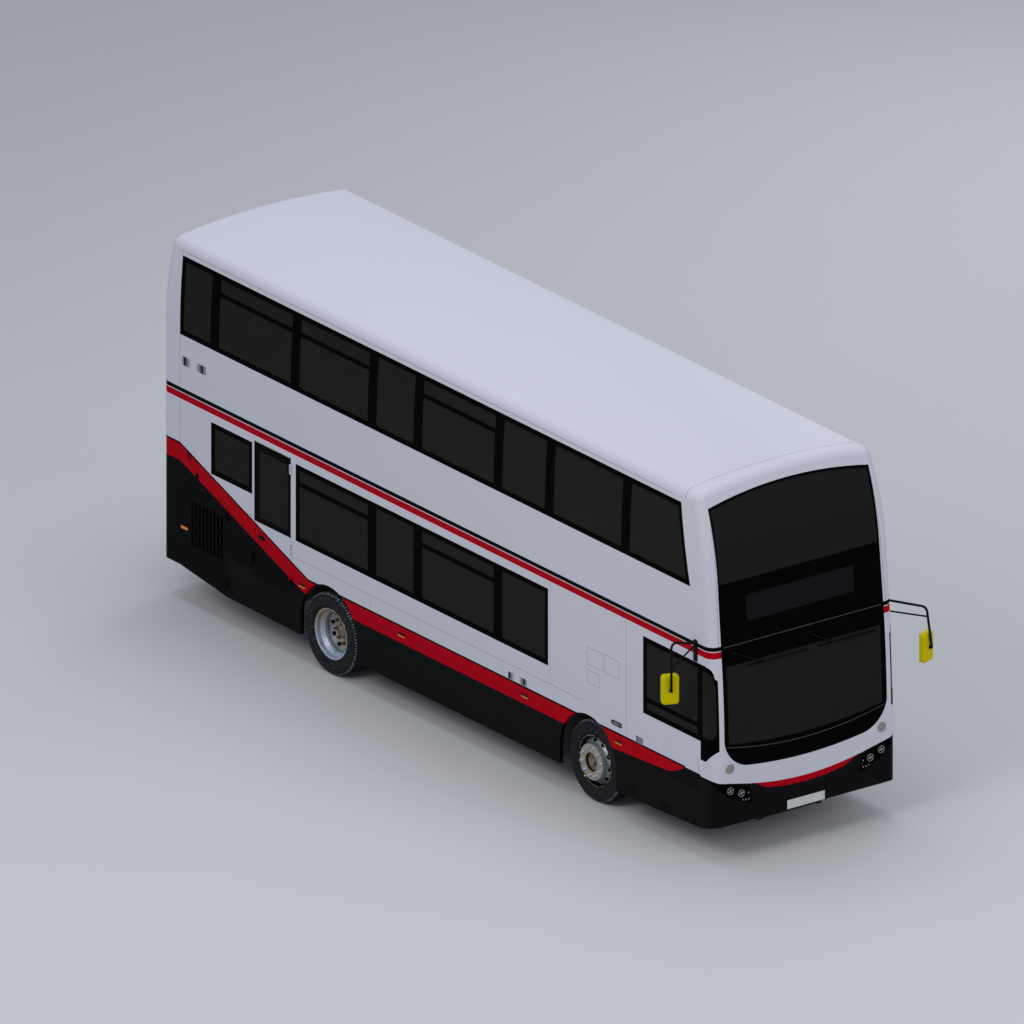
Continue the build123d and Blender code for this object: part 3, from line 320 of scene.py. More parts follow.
def build_weave_group():
    """Woven moquette: crossed threads, a block pattern and a soft pile."""
    nodes, given, out = new_group(
        "moquette",
        (("Vector", "Vector", None), ("Pitch", "Float", 420.0)),
        (("Thread", "Float"), ("Block", "Float"), ("Pile", "Float")),
    )
    waves = [(part * given["Pitch"]).sine() for part in nodes.split(given["Vector"])]
    thread = waves[0] * waves[1] * waves[2]
    checker = nodes.place("ShaderNodeTexChecker")
    nodes.feed(checker.inputs["Vector"], given["Vector"])
    checker.inputs["Scale"].default_value = 34.0
    nodes.feed(out["Thread"], thread)
    nodes.feed(out["Block"], checker.outputs["Fac"])
    nodes.feed(out["Pile"], nodes.noise(given["Vector"], 60.0, 4.0))


def start_material(name, base, roughness=0.5, metallic=0.0, specular=0.5):
    """A material of the bus with its shader nodes and its Principled shader."""
    material = bpy.data.materials.new(f"bus_{name}")
    material.use_nodes = True
    nodes = Nodes(material.node_tree)
    shader = material.node_tree.nodes["Principled BSDF"]
    shader.inputs["Base Color"].default_value = (*base, 1.0)
    shader.inputs["Roughness"].default_value = roughness
    shader.inputs["Metallic"].default_value = metallic
    shader.inputs["Specular IOR Level"].default_value = specular
    return material, nodes, shader


def set_look(nodes, shader, colour_value, roughness):
    """Feeds the shader's colour and roughness."""
    nodes.feed(shader.inputs["Base Color"], colour_value)
    nodes.feed(shader.inputs["Roughness"], roughness)


def rgba(value):
    """A stored colour with its alpha."""
    return (*value, 1.0)


def raise_height(nodes, shader, height, distance, strength=1.0):
    """Feeds a height through a Bump node to the shader's normal."""
    bump = nodes.place("ShaderNodeBump")
    bump.inputs["Strength"].default_value = strength
    bump.inputs["Distance"].default_value = distance
    nodes.feed(bump.inputs["Height"], height)
    nodes.feed(shader.inputs["Normal"], bump.outputs["Normal"])


# ---------------------------------------------------------------- masks over the body
ROAD_FILM = (0.16, 0.145, 0.125, 1.0)
CORNER_X = -2.753  # the tail's corner panel meets the side here, from the rear axle
NOSE_CURVE_X = 5.3  # the lower stripe starts to rise from here


def clamped(value, low, high):
    """A value kept between two limits."""
    return value.max(low).min(high)


def band(value, low, high):
    """1 where the value lies between two limits."""
    return value.nodes.call("between", Value=value, Low=low, High=high)["Mask"]


def both(*masks):
    """1 where every mask is 1."""
    return reduce(Wire.__mul__, masks)


def either(masks):
    """The greatest of several masks."""
    return reduce(Wire.max, masks)


def line_at(across, place, along, low, high, half):
    """A thin line across one coordinate, over a stretch of another."""
    gap = abs(across - place)
    return both(gap < half, band(along, low, high))


def frame_line(x, z, low_x, high_x, low_z, high_z, half):
    """The outline of an upright rectangle, as a thin line."""
    reach_x = abs(x - (low_x + high_x) / 2)
    reach_z = abs(z - (low_z + high_z) / 2)
    out_x = reach_x - (high_x - low_x) / 2
    out_z = reach_z - (high_z - low_z) / 2
    gap = abs(out_x.max(out_z))
    return gap < half


def rectangle(x, z, low_x, high_x, low_z, high_z):
    """1 inside an upright rectangle."""
    return both(band(x, low_x, high_x), band(z, low_z, high_z))


def waist_stripes(z):
    """Masks of the waist's red and black stripes."""
    given = sizes()
    red = band(z, given.waist_red_low, given.waist_red_high)
    black = band(z, given.waist_red_high + 0.010, given.waist_black_high)
    return red, black


def lower_stripes(x, z):
    """Masks of the lower red stripe, the line over it and the dark skirt, which climb towards the tail."""
    given = sizes()
    fall = (x - CORNER_X) * -0.3738
    red_top = clamped(fall + given.rear_red_high, given.red_top, given.rear_red_high)
    dark_top = clamped(fall + given.rear_red_low, given.skirt_top, given.rear_red_low)
    slow = (x - NOSE_CURVE_X).max(0.0) * 0.053
    steep = (x - (NOSE_CURVE_X + 0.9)).max(0.0)
    curve = steep * steep * 0.80
    nose = slow + curve + given.skirt_top
    dark_top = dark_top.max(nose.min(given.red_top + 0.009))
    red = band(z, dark_top, red_top)
    line_top = red_top + (given.line_top - given.red_top)
    line = both(band(z, red_top, line_top), x < 6.60)
    return red, line, z < dark_top


def finish_paint(nodes, shader, point, z, layers, dark, seams):
    """Lays colours over the base white, then road film, seams, orange peel and gloss."""
    coat = nodes.call("sprayed_coat", Vector=point, Height=z, Film=0.5)
    shown = nodes.mix(coat["Drift"] * 0.10, rgba(paint().white), (0.50, 0.50, 0.57, 1.0))
    for mask, value in layers:
        shown = nodes.mix(mask, shown, rgba(value))
    shown = nodes.mix(coat["Film"] * 0.015, shown, ROAD_FILM)
    shown = nodes.mix(seams * 0.45, shown, (0.02, 0.02, 0.024, 1.0))
    set_look(nodes, shader, shown, coat["Roughness"] + dark * 0.12)
    relief = coat["Peel"] * 0.05 - seams
    raise_height(nodes, shader, relief, 0.0022)
    shader.inputs["Specular IOR Level"].default_value = 0.012
    shader.inputs["Coat Weight"].default_value = 0.02
    shader.inputs["Coat Roughness"].default_value = 0.12


def scoop_shade(x, z, low_x, high_x, low_z, high_z, dark_x, fade, toward):
    """A shallow air scoop painted as shade, for it has no depth: dark along an upright line, fading one way and grey
    the other.
    """
    inside = rectangle(x, z, low_x, high_x, low_z, high_z)
    gap = (x - dark_x) * toward
    fading = 1.0 - gap.nodes.ramp(gap, 0.0, fade)
    behind = (gap < -0.016) * -0.4 + 1.0
    return both(inside, fading ** 0.75, behind)


# each scoop's painted shade: low and high x, low and high z, dark line's x, width of the fade and its direction
SCOOPS = (
    (-2.711, -2.546, 2.845, 2.952, -2.668, 0.115, 1.0),
    (-2.463, -2.277, 2.851, 2.952, -2.345, 0.115, -1.0),
    (3.323, 3.470, 1.027, 1.109, 3.340, 0.100, 1.0),
    (3.520, 3.667, 1.027, 1.109, 3.615, 0.090, -1.0),
)
RED_SCOOPS = (
    (-2.620, -2.520, 1.750, 1.870, -2.600, 0.080, 1.0),
    (-2.500, -2.400, 1.750, 1.870, -2.420, 0.080, -1.0),
)


def coach_paint(name):
    """The livery of the sides and tail, laid out by position."""
    material, nodes, shader = start_material(name, paint().white, 0.3)
    point, x, y, z = nodes.object_point()
    x -= REAR_AXLE.x
    half = sizes().seam
    waist_red, waist_black = waist_stripes(z)
    red, line, dark = lower_stripes(x, z)
    on_right = y < -1.0
    on_left = y > 1.0
    on_tail = x < -2.95
    door = both(on_right, rectangle(x, z, -1.379, -0.703, 1.41, 2.362))
    rear_screen = both(on_tail, abs(y) < 0.97, band(z, 3.25, 4.02))
    seams = [
        line_at(x, CORNER_X, z, 0.45, 4.19, half),
        line_at(x, -1.885, z, 0.40, 1.40, half),
        line_at(z, 1.45, x, CORNER_X, -1.42, half),
        line_at(z, 1.20, x, -0.60, 4.70, half * 0.7),
        line_at(x, 4.10, z, 1.20, 2.42, half * 0.7),
        line_at(x, 5.51, z, 0.83, 2.42, half),
        line_at(x, 0.77, z, 0.82, 1.20, half * 0.7),
        line_at(x, 1.64, z, 0.82, 1.20, half * 0.7),
        line_at(x, 3.21, z, 0.82, 1.20, half * 0.7),
        line_at(x, 6.842, z, 0.82, 1.22, half),
        line_at(z, 4.18, x, CORNER_X, 6.30, half),
    ]
    for low_x, high_x, low_z, high_z in ((4.785, 5.073, 1.662, 1.869), (5.106, 5.387, 1.667, 1.876),
                                         (4.785, 5.016, 1.446, 1.598)):
        seams.append(both(on_right, frame_line(x, z, low_x, high_x, low_z, high_z, half * 0.7)))
    seams.append(both(on_left, frame_line(x, z, -2.35, -1.95, 1.02, 1.32, half)))
    # the scoops' recesses are painted shade, on the white paint and on the red stripe
    scoop_shades = either(scoop_shade(x, z, *place) for place in SCOOPS)
    red_scoop_shades = both(red, either(scoop_shade(x, z, *place) for place in RED_SCOOPS))
    layers = (
        (waist_red, paint().red), (waist_black, paint().gloss_black), (red, paint().red),
        (line, paint().gloss_black), (dark, paint().black), (door, paint().gloss_black),
        # the scoop layers below are painted shade
        (rear_screen, paint().gloss_black), (scoop_shades, (0.002, 0.002, 0.0025)),
        (red_scoop_shades * 0.8, (0.012, 0.001, 0.001)),
    )
    finish_paint(nodes, shader, point, z, layers, dark, either(seams))
    return material


def dome_paint(name):
    """The front and roof mouldings: white, with a thin seam between dome and roof."""
    material, nodes, shader = start_material(name, paint().white, 0.3)
    point, x, y, z = nodes.object_point()
    waist_red, waist_black = waist_stripes(z)
    seam_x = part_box("roof")[1].x
    high = z > 4.12
    gap = abs(x - seam_x)
    across = abs(y) + z * 0.03
    corner = line_at(across, 1.236, z, 2.57, 4.12, 0.0035)
    seam = both(gap < 0.0045, high).max(corner)
    layers = ((waist_red, paint().red), (waist_black, paint().gloss_black))
    finish_paint(nodes, shader, point, z, layers, 0.0, seam)
    return material


def fascia_paint(name):
    """The white panel over the bumper, with its red lip."""
    material, nodes, shader = start_material(name, paint().white, 0.3)
    point, x, y, z = nodes.object_point()
    waist_red, waist_black = waist_stripes(z)
    side_x = x - REAR_AXLE.x
    bow = y * y * 0.133 + 0.79
    wide = abs(y) < 0.75
    red = both(z < bow, wide)
    seam = line_at(side_x, 6.842, z, 0.82, 1.22, sizes().seam)
    layers = ((waist_red, paint().red), (waist_black, paint().gloss_black), (red, paint().red))
    finish_paint(nodes, shader, point, z, layers, 0.0, seam)
    return material


def skirt_paint(name):
    """Satin black skirts and bumper, with flap seams and dust near the road."""
    material, nodes, shader = start_material(name, paint().black, 0.42, specular=0.03)
    point, x, y, z = nodes.object_point()
    x -= REAR_AXLE.x
    half = sizes().seam
    on_right = y < -1.0
    coat = nodes.call("sprayed_coat", Vector=point, Height=z, Film=0.9)
    seams = [line_at(x, place, z, 0.30, 0.84, half) for place in (0.77, 1.64, 3.21, 4.16, 5.51, 6.842)]
    seams.append(line_at(z, 0.62, x, CORNER_X, -1.876, half))
    seams.append(both(on_right, frame_line(x, z, 0.946, 1.173, 0.53, 0.745, half)))
    seams.append(line_at(z, 0.85, x, 6.256, 6.842, half))
    seams = either(seams)
    shown = nodes.mix(coat["Film"] * 0.02, rgba(paint().black), ROAD_FILM)
    shown = nodes.mix(coat["Drift"] * 0.25, shown, (0.0085, 0.0085, 0.0095, 1.0))
    shown = nodes.mix(seams * 0.9, shown, (0.0008, 0.0008, 0.0008, 1.0))
    set_look(nodes, shader, shown, coat["Roughness"] + 0.14)
    raise_height(nodes, shader, coat["Peel"] * 0.08 - seams, 0.0025)
    return material


def mask_gloss(name):
    """Gloss black glazing bands and front mask, with the mask's thin grey joints."""
    material, nodes, shader = start_material(name, paint().gloss_black, 0.16, specular=0.006)
    point, x, y, z = nodes.object_point()
    coat = nodes.call("sprayed_coat", Vector=point, Height=z, Film=0.3)
    front = both(x > NOSE_X - 0.45, abs(y) < 1.09)
    rule = abs(z - 2.54) < 0.004
    reach = y / 1.085
    smile = reach * reach * 0.122 + 1.245
    lip = abs(z - smile) < 0.004
    lines = both(front, rule.max(lip))
    shown = nodes.mix(lines * 0.8, rgba(paint().gloss_black), (0.09, 0.09, 0.095, 1.0))
    shown = nodes.mix(coat["Film"] * 0.01, shown, (0.12, 0.11, 0.10, 1.0))
    set_look(nodes, shader, shown, coat["Roughness"] - 0.10)
    raise_height(nodes, shader, coat["Peel"], 0.0001)
    return material


def tinted_glass(name):
    """Dark tinted glass that shows almost nothing of the cabin."""
    material, nodes, shader = start_material(name, paint().glass, 0.08, specular=0.02)
    point = nodes.object_point()[0]
    smear = nodes.noise(point, 3.0, 4.0, 0.6)
    dusty = nodes.ramp(smear, 0.45, 0.8) * 0.25
    shown = nodes.mix(dusty, rgba(paint().glass), (0.020, 0.020, 0.018, 1.0))
    set_look(nodes, shader, shown, dusty * 0.25 + 0.07)
    shader.inputs["Transmission Weight"].default_value = 0.06
    shader.inputs["IOR"].default_value = 1.45
    return material


DISPLAY_DARK = (0.0085, 0.0068, 0.0095)


def display_glass(name):
    """The blank destination display: a dark panel with a fine dot grid."""
    material, nodes, shader = start_material(name, DISPLAY_DARK, 0.2, specular=0.02)
    _, _, y, z = nodes.object_point()
    cells = [abs((v * 260.0).sine()) < 0.45 for v in (y, z)]
    dots = 1.0 - either(cells)
    shown = nodes.mix(dots * 0.5, rgba(DISPLAY_DARK), (0.014, 0.011, 0.013, 1.0))
    set_look(nodes, shader, shown, dots * 0.2 + 0.14)
    raise_height(nodes, shader, dots, 0.0004, 0.5)
    return material


def ribbed_lens(name, base, emission, pitch):
    """A moulded lens with fine optic ribs."""
    material, nodes, shader = start_material(name, base, 0.14, specular=0.3)
    _, x, y, z = nodes.object_point()
    spot = x + y
    ribs = (spot * pitch).sine() * (z * pitch).sine()
    # the rib crests are painted brighter than the troughs: painted highlight along the ribs
    shade = nodes.ramp(ribs, -1.0, 1.0)
    bright = rgba(min(1.0, channel * 1.8 + 0.01) for channel in base)
    shown = nodes.mix(shade * 0.5, rgba(base), bright)
    set_look(nodes, shader, shown, shade * 0.1 + 0.08)
    shader.inputs["Emission Color"].default_value = rgba(base)
    shader.inputs["Emission Strength"].default_value = emission
    raise_height(nodes, shader, ribs, 0.0008, 0.6)
    return material


def bright_metal(name, base, roughness):
    """Polished or brushed metal with faint scratches."""
    material, nodes, shader = start_material(name, base, roughness, metallic=1.0)
    point = nodes.object_point()[0]
    scratches = nodes.noise(point, 240.0, 4.0, 0.7)
    shown = nodes.mix(nodes.ramp(scratches, 0.35, 0.9), rgba(base), rgba(channel * 0.72 for channel in base))
    set_look(nodes, shader, shown, scratches * 0.16 + (roughness - 0.06))
    raise_height(nodes, shader, scratches, 0.0002, 0.4)
    return material


def grained(name, base, dust, scale, roughness, dust_colour=(0.10, 0.092, 0.082), specular=0.12):
    """Moulded rubber or plastic with its grain and dust."""
    material, nodes, shader = start_material(name, base, roughness, specular=specular)
    point = nodes.object_point()[0]
    grain = nodes.call("moulded_grain", Vector=point, Scale=scale, Dust=dust)
    shown = nodes.mix(grain["Dust"], rgba(base), rgba(dust_colour))
    set_look(nodes, shader, shown, grain["Mottle"] * 0.2 + (roughness - 0.1))
    raise_height(nodes, shader, grain["Grain"], 0.0006, 0.6)
    return material


def worn(name, base, wear, wear_colour, metallic=0.0, roughness=0.0):
    """Painted or cast metal with worn patches."""
    material, nodes, shader = start_material(name, base, 0.5, metallic=metallic, specular=0.08)
    point = nodes.object_point()[0]
    given = nodes.call("worn_metal", Vector=point, Wear=wear)
    shown = nodes.mix(given["Wear"], rgba(base), rgba(wear_colour))
    set_look(nodes, shader, shown, given["Roughness"] + roughness)
    raise_height(nodes, shader, given["Relief"], 0.0009, 0.5)
    return material


def axle_radius(x, z, axle):
    """How far a point is from an axle."""
    across, up = x - axle.x, z - axle.z
    return (across * across + up * up).root()


def wheel_metal(name, tan, silver, metallic, roughness, split):
    """Painted wheel steel with worn patches: split by radius, tan on the nut plate and silver beyond it; split by
    height, a painted reflection that is tan above and bluish silver below.
    """
    material, nodes, shader = start_material(name, tan, roughness, metallic=metallic)
    point, x, _, z = nodes.object_point()
    given = nodes.call("worn_metal", Vector=point, Wear=0.7)
    radius = axle_radius(x, z, FRONT_AXLE).min(axle_radius(x, z, REAR_AXLE))
    drift = (nodes.noise(point, 9.0, 4.0) - 0.5) * 0.09
    if split == "radius":
        share = nodes.ramp(radius + drift * 0.15, 0.203, 0.212)
    else:
        # painted reflection: tan above, as of the ground, and bluish silver below, as of the sky
        share = nodes.ramp(z - REAR_AXLE.z + drift, 0.17, -0.06)
    shown = nodes.mix(share, rgba(tan), rgba(silver))
    shown = nodes.mix(given["Wear"], shown, (0.11, 0.08, 0.055, 1.0))
    set_look(nodes, shader, shown, given["Roughness"] + (roughness - 0.45))
    raise_height(nodes, shader, given["Relief"], 0.0008, 0.5)
    return material


def sparkle_metal(name):
    """A wheel lip painted with short bright glints, painted highlights, between dark stretches."""
    material, nodes, shader = start_material(name, (0.62, 0.55, 0.43), 0.3, metallic=0.8)
    point = nodes.object_point()[0]
    # painted highlights: bright spots along the lip, dark between them
    glint_spots = nodes.ramp(nodes.noise(point, 55.0, 2.0), 0.46, 0.54)
    shown = nodes.mix(glint_spots, (0.030, 0.022, 0.016, 1.0), (0.80, 0.72, 0.58, 1.0))
    set_look(nodes, shader, shown, 0.50 - glint_spots * 0.25)
    return material


def tyre_rubber(name):
    """Tyre rubber: fine grain, dust, and painted highlights: glints on the lug corners round the shoulder and specks on
    the flank.
    """
    base = paint().rubber
    material, nodes, shader = start_material(name, base, 0.7, specular=0.10)
    point, x, _, z = nodes.object_point()
    grain = nodes.call("moulded_grain", Vector=point, Scale=520.0, Dust=0.22)
    glints = []
    for axle in (FRONT_AXLE, REAR_AXLE):
        radius = axle_radius(x, z, axle)
        angle = (z - axle.z).angle_from(x - axle.x)
        # painted highlights: glints on the lugs at the shoulder and specks on the flank
        lugs = (angle * 84.0).sine() > 0.35
        shoulder = both(lugs, band(radius, 0.456, 0.4780))
        specks = both(nodes.noise(point, 95.0, 2.0) > 0.64, band(radius, 0.31, 0.47))
        glints.append(shoulder.max(specks * 0.55))
    glint_breakup = nodes.ramp(nodes.noise(point, 26.0, 2.0), 0.38, 0.62)
    shown = nodes.mix(grain["Dust"], rgba(base), (0.030, 0.029, 0.028, 1.0))
    mask = either(glints) * (glint_breakup * 0.8 + 0.2)
    # the painted glints' colour, a bluish highlight
    shown = nodes.mix(mask, shown, (0.24, 0.28, 0.33, 1.0))
    set_look(nodes, shader, shown, grain["Mottle"] * 0.2 + 0.62)
    raise_height(nodes, shader, grain["Grain"], 0.0006, 0.6)
    return material


def seat_cloth(name):
    """Moquette: crossed threads, a small woven block pattern and a soft pile."""
    base = paint().seat
    material, nodes, shader = start_material(name, base, 0.85)
    point = nodes.object_point()[0]
    weave = nodes.call("moquette", Vector=point, Pitch=900.0)
    shown = nodes.mix(weave["Block"] * 0.55, rgba(base), (0.012, 0.016, 0.06, 1.0))
    shown = nodes.mix(nodes.ramp(weave["Pile"], 0.4, 0.8) * 0.25, shown, (0.09, 0.05, 0.08, 1.0))
    set_look(nodes, shader, shown, weave["Pile"] * 0.15 + 0.75)
    shader.inputs["Sheen Weight"].default_value = 0.35
    raise_height(nodes, shader, weave["Thread"] + weave["Pile"], 0.0009, 0.7)
    return material


VINYL = (0.075, 0.08, 0.09)


def floor_vinyl(name):
    """Speckled safety vinyl."""
    material, nodes, shader = start_material(name, VINYL, 0.6)
    point = nodes.object_point()[0]
    speck = nodes.noise(point, 700.0, 2.0)
    grain = nodes.call("moulded_grain", Vector=point, Scale=500.0, Dust=0.3)
    shown = nodes.mix(nodes.ramp(speck, 0.60, 0.66), rgba(VINYL), (0.30, 0.31, 0.33, 1.0))
    shown = nodes.mix(grain["Dust"], shown, (0.13, 0.12, 0.11, 1.0))
    set_look(nodes, shader, shown, grain["Mottle"] * 0.25 + 0.45)
    raise_height(nodes, shader, grain["Grain"], 0.0008, 0.5)
    return material


MATERIAL_MAKERS = {
    "coach_paint": coach_paint,
    "dome_paint": dome_paint,
    "fascia_paint": fascia_paint,
    "skirt_paint": skirt_paint,
    "mask_gloss": mask_gloss,
    "tinted_glass": tinted_glass,
    "display_glass": display_glass,
    "clear_lens": lambda name: ribbed_lens(name, (0.10, 0.10, 0.11), 0.0, 300.0),
    "red_lens": lambda name: ribbed_lens(name, paint().lamp_red, 0.08, 420.0),
    "orange_lens": lambda name: ribbed_lens(name, paint().orange, 0.10, 420.0),
    "chrome": lambda name: bright_metal(name, (0.75, 0.75, 0.77), 0.14),
    "lamp_silver": lambda name: bright_metal(name, (0.40, 0.40, 0.43), 0.30),
    "nut_metal": lambda name: bright_metal(name, (0.62, 0.72, 0.86), 0.24),
    "sparkle_metal": sparkle_metal,
    "dusty_nut": lambda name: worn(name, (0.17, 0.12, 0.08), 0.8, (0.55, 0.50, 0.44), 0.5, -0.12),
    "mottled_lens": lambda name: worn(name, (0.20, 0.21, 0.23), 0.7, (0.050, 0.050, 0.054), 0.0, -0.15),
    "mirror_yellow": lambda name: grained(name, paint().yellow, 0.06, 700.0, 0.42, (0.30, 0.27, 0.02), 0.04),
    "black_metal": lambda name: worn(name, (0.0035, 0.0035, 0.0038), 0.15, (0.012, 0.0115, 0.011), roughness=-0.05),
    "tyre_rubber": tyre_rubber,
    "gap_black": lambda name: grained(name, (0.0012, 0.0012, 0.0013), 0.02, 600.0, 0.9),
    "spring_rubber": lambda name: grained(name, (0.014, 0.014, 0.015), 0.5, 380.0, 0.7),
    "chassis_black": lambda name: worn(name, (0.018, 0.018, 0.019), 0.7, (0.075, 0.05, 0.035), roughness=0.1),
    "cast_grey": lambda name: worn(name, (0.07, 0.07, 0.072), 0.7, (0.11, 0.065, 0.04), 0.5, 0.05),
    "engine_grey": lambda name: worn(name, (0.13, 0.135, 0.14), 0.5, (0.05, 0.045, 0.04), 0.3),
    "wheel_paint": lambda name: wheel_metal(name, paint().rim, (0.30, 0.33, 0.36), 0.55, 0.34, "radius"),
    # the rear barrels' tan upper half and bluish lower half are a painted reflection
    "dish_paint": lambda name: wheel_metal(name, (0.40, 0.29, 0.20), (0.42, 0.50, 0.62), 0.45, 0.32, "height"),
    "hub_dust": lambda name: worn(name, (0.21, 0.165, 0.12), 1.0, (0.50, 0.47, 0.43), 0.4, -0.10),
    # near black as painted shadow inside the front rims, with worn patches
    "rim_black": lambda name: worn(name, (0.0022, 0.0020, 0.0020), 0.5, (0.010, 0.008, 0.006), 0.0, 0.1),
    "floor_vinyl": floor_vinyl,
    "trim_grey": lambda name: grained(name, (0.10, 0.102, 0.108), 0.15, 900.0, 0.6),
    "seat_shell": lambda name: grained(name, (0.03, 0.032, 0.036), 0.1, 900.0, 0.5),
    "seat_cloth": seat_cloth,
    "plate_blank": lambda name: grained(name, (0.62, 0.62, 0.60), 0.25, 1500.0, 0.35, (0.35, 0.34, 0.31)),
    "lamp_cream": lambda name: grained(name, (0.30, 0.29, 0.27), 0.2, 1200.0, 0.35),
}


def finish(name):
    """The named finish, made the first time that it is asked for."""
    return bpy.data.materials.get(f"bus_{name}") or MATERIAL_MAKERS[name](name)


NODE_FINISHES = {
    "coach_paint": ("upper_side_right", "upper_side_left", "lower_side_right", "lower_side_left", "rear_wall",
                    "emergency_door", "radiator_door", "filler_flap", "engine_cover", "hinge_lugs"),
    "dome_paint": ("roof", "front_dome"),
    "fascia_paint": ("front_fascia",),
    "skirt_paint": ("skirts", "front_bumper"),
    "mask_gloss": ("headlamps", "front_mask", "window_frames", "entrance_leaf_rear", "entrance_leaf_front"),
    "tinted_glass": ("side_glass", "rear_glass", "windscreens", "emergency_door_glass", "entrance_glass_rear",
                     "entrance_glass_front"),
    "display_glass": ("destination_display",),
    "red_lens": ("rear_lamps",),
    "orange_lens": ("marker_lamps",),
    "mirror_yellow": ("mirror_heads",),
    "black_metal": ("mirror_arms", "wipers", "steering_wheel"),
    "tyre_rubber": ("front_tyre_right", "front_tyre_left", "rear_tyres_right", "rear_tyres_left"),
    "wheel_paint": ("front_rim_right", "front_rim_left", "rear_rims_right", "rear_rims_left"),
    "spring_rubber": ("air_springs",),
    "chassis_black": ("chassis_frame",),
    "cast_grey": ("front_axle_beam", "rear_axle", "knuckle_right", "knuckle_left", "tie_rod"),
    "engine_grey": ("engine_block",),
    "floor_vinyl": ("lower_floor", "upper_floor", "staircase"),
    "trim_grey": ("cab_interior", "wheel_boxes"),
    "seat_cloth": ("lower_seats", "upper_seats"),
    "plate_blank": ("number_plates",),
}


# ---------------------------------------------------------------- mesh helpers
def add_block(bm, low, high, bevel=0.0, segments=2):
    """A box between two corners, with rounded edges."""
    low, high = Vector(low), Vector(high)
    place = Matrix.Translation((low + high) / 2) @ Matrix.Diagonal((*(high - low), 1.0))
    made = bmesh.ops.create_cube(bm, size=1.0, matrix=place)["verts"]
    if bevel:
        edges = list({edge for vert in made for edge in vert.link_edges})
        bmesh.ops.bevel(bm, geom=edges, offset=bevel, offset_type="OFFSET", segments=segments,
                        profile=0.5, affect="EDGES", clamp_overlap=True, material=-1)


def along(start, end):
    """A matrix whose Z runs from one point towards another, centred between them."""
    start, end = Vector(start), Vector(end)
    turn = (end - start).to_track_quat("Z", "Y").to_matrix().to_4x4()
    return Matrix.Translation((start + end) / 2) @ turn


def add_rod(bm, start, end, radius, end_radius=None, steps=24, bevel=0.0):
    """A round or tapered rod between two points."""
    length = (Vector(end) - Vector(start)).length
    made = bmesh.ops.create_cone(
        bm, cap_ends=True, segments=steps, radius1=radius, radius2=radius if end_radius is None else end_radius,
        depth=length, matrix=along(start, end),
    )["verts"]
    if bevel:
        rims = [e for e in {e for v in made for e in v.link_edges}
                if len(e.link_faces) == 2 and any(len(f.verts) > 4 for f in e.link_faces)]
        bmesh.ops.bevel(bm, geom=rims, offset=bevel, offset_type="OFFSET", segments=2,
                        profile=0.5, affect="EDGES", clamp_overlap=True, material=-1)


def add_slab(bm, at, low, high, bevel=0.0, segments=2):
    """A box whose corners are given as offsets from a place."""
    add_block(bm, at + Vector(low), at + Vector(high), bevel, segments)


def add_pin(bm, at, start, end, radius, steps=24, bevel=0.0):
    """A round rod whose ends are given as offsets from a place."""
    add_rod(bm, at + Vector(start), at + Vector(end), radius, steps=steps, bevel=bevel)


def add_turned(bm, outline, centre, steps=64, closed=False):
    """Spins an outline of (out along Y, radius) about the axle through centre."""
    centre = Vector(centre)
    verts = [bm.verts.new(centre + Vector((0.0, out, radius))) for out, radius in outline]
    pairs = list(zip(verts, verts[1:])) + ([(verts[-1], verts[0])] if closed else [])
    edges = [bm.edges.new(pair) for pair in pairs]
    bmesh.ops.spin(bm, geom=verts + edges, cent=centre, axis=(0.0, 1.0, 0.0), angle=tau,
                   steps=steps, use_merge=True, use_duplicate=False)


def add_ring(bm, centre, normal, radius, tube, steps=32, around=10):
    """A round ring lying across a direction."""
    turn = Vector(normal).to_track_quat("Z", "Y").to_matrix().to_4x4()
    place = Matrix.Translation(centre) @ turn
    across = Matrix.Translation((radius, 0.0, 0.0)) @ Matrix.Rotation(pi / 2, 4, "X")
    verts = bmesh.ops.create_circle(bm, cap_ends=False, segments=around, radius=tube, matrix=place @ across)["verts"]
    edges = list({e for v in verts for e in v.link_edges})
    bmesh.ops.spin(bm, geom=verts + edges, cent=Vector(centre), axis=turn.to_3x3() @ Vector((0.0, 0.0, 1.0)),
                   angle=tau, steps=steps, use_merge=True, use_duplicate=False)


def merge_in(bm, other):
    """Moves the whole of another bmesh into this one."""
    carrier = flushed(other, "carrier")
    bm.from_mesh(carrier)
    bpy.data.meshes.remove(carrier)


def tidy_mesh(bm):
    """Closes the seams and turns the faces outwards."""
    bmesh.ops.remove_doubles(bm, verts=bm.verts[:], dist=0.00005)
    bmesh.ops.recalc_face_normals(bm, faces=bm.faces[:])


def linked(name, data):
    """An object of the scene that holds some data."""
    made = bpy.data.objects.new(name, data)
    bpy.context.scene.collection.objects.link(made)
    return made


def flushed(bm, name):
    """A mesh that takes over what a bmesh holds."""
    mesh = bpy.data.meshes.new(name)
    bm.to_mesh(mesh)
    bm.free()
    return mesh


def ride_along(mesh, name, finish_name, body):
    """Shows a mesh in its finish as a named piece that rides on a body."""
    mesh.materials.append(finish(finish_name))
    piece = linked(name, mesh)
    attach(piece, body)
    return piece


def make_piece(bm, name, finish_name, body="body", replaces=(), sharp=32.0):
    """Turns a bmesh into a named piece."""
    tidy_mesh(bm)
    mesh = flushed(bm, name)
    mesh.shade_smooth()
    mesh.set_sharp_from_angle(angle=radians(sharp))
    piece = ride_along(mesh, name, finish_name, body)
    if replaces:
        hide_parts(*replaces)
    return piece


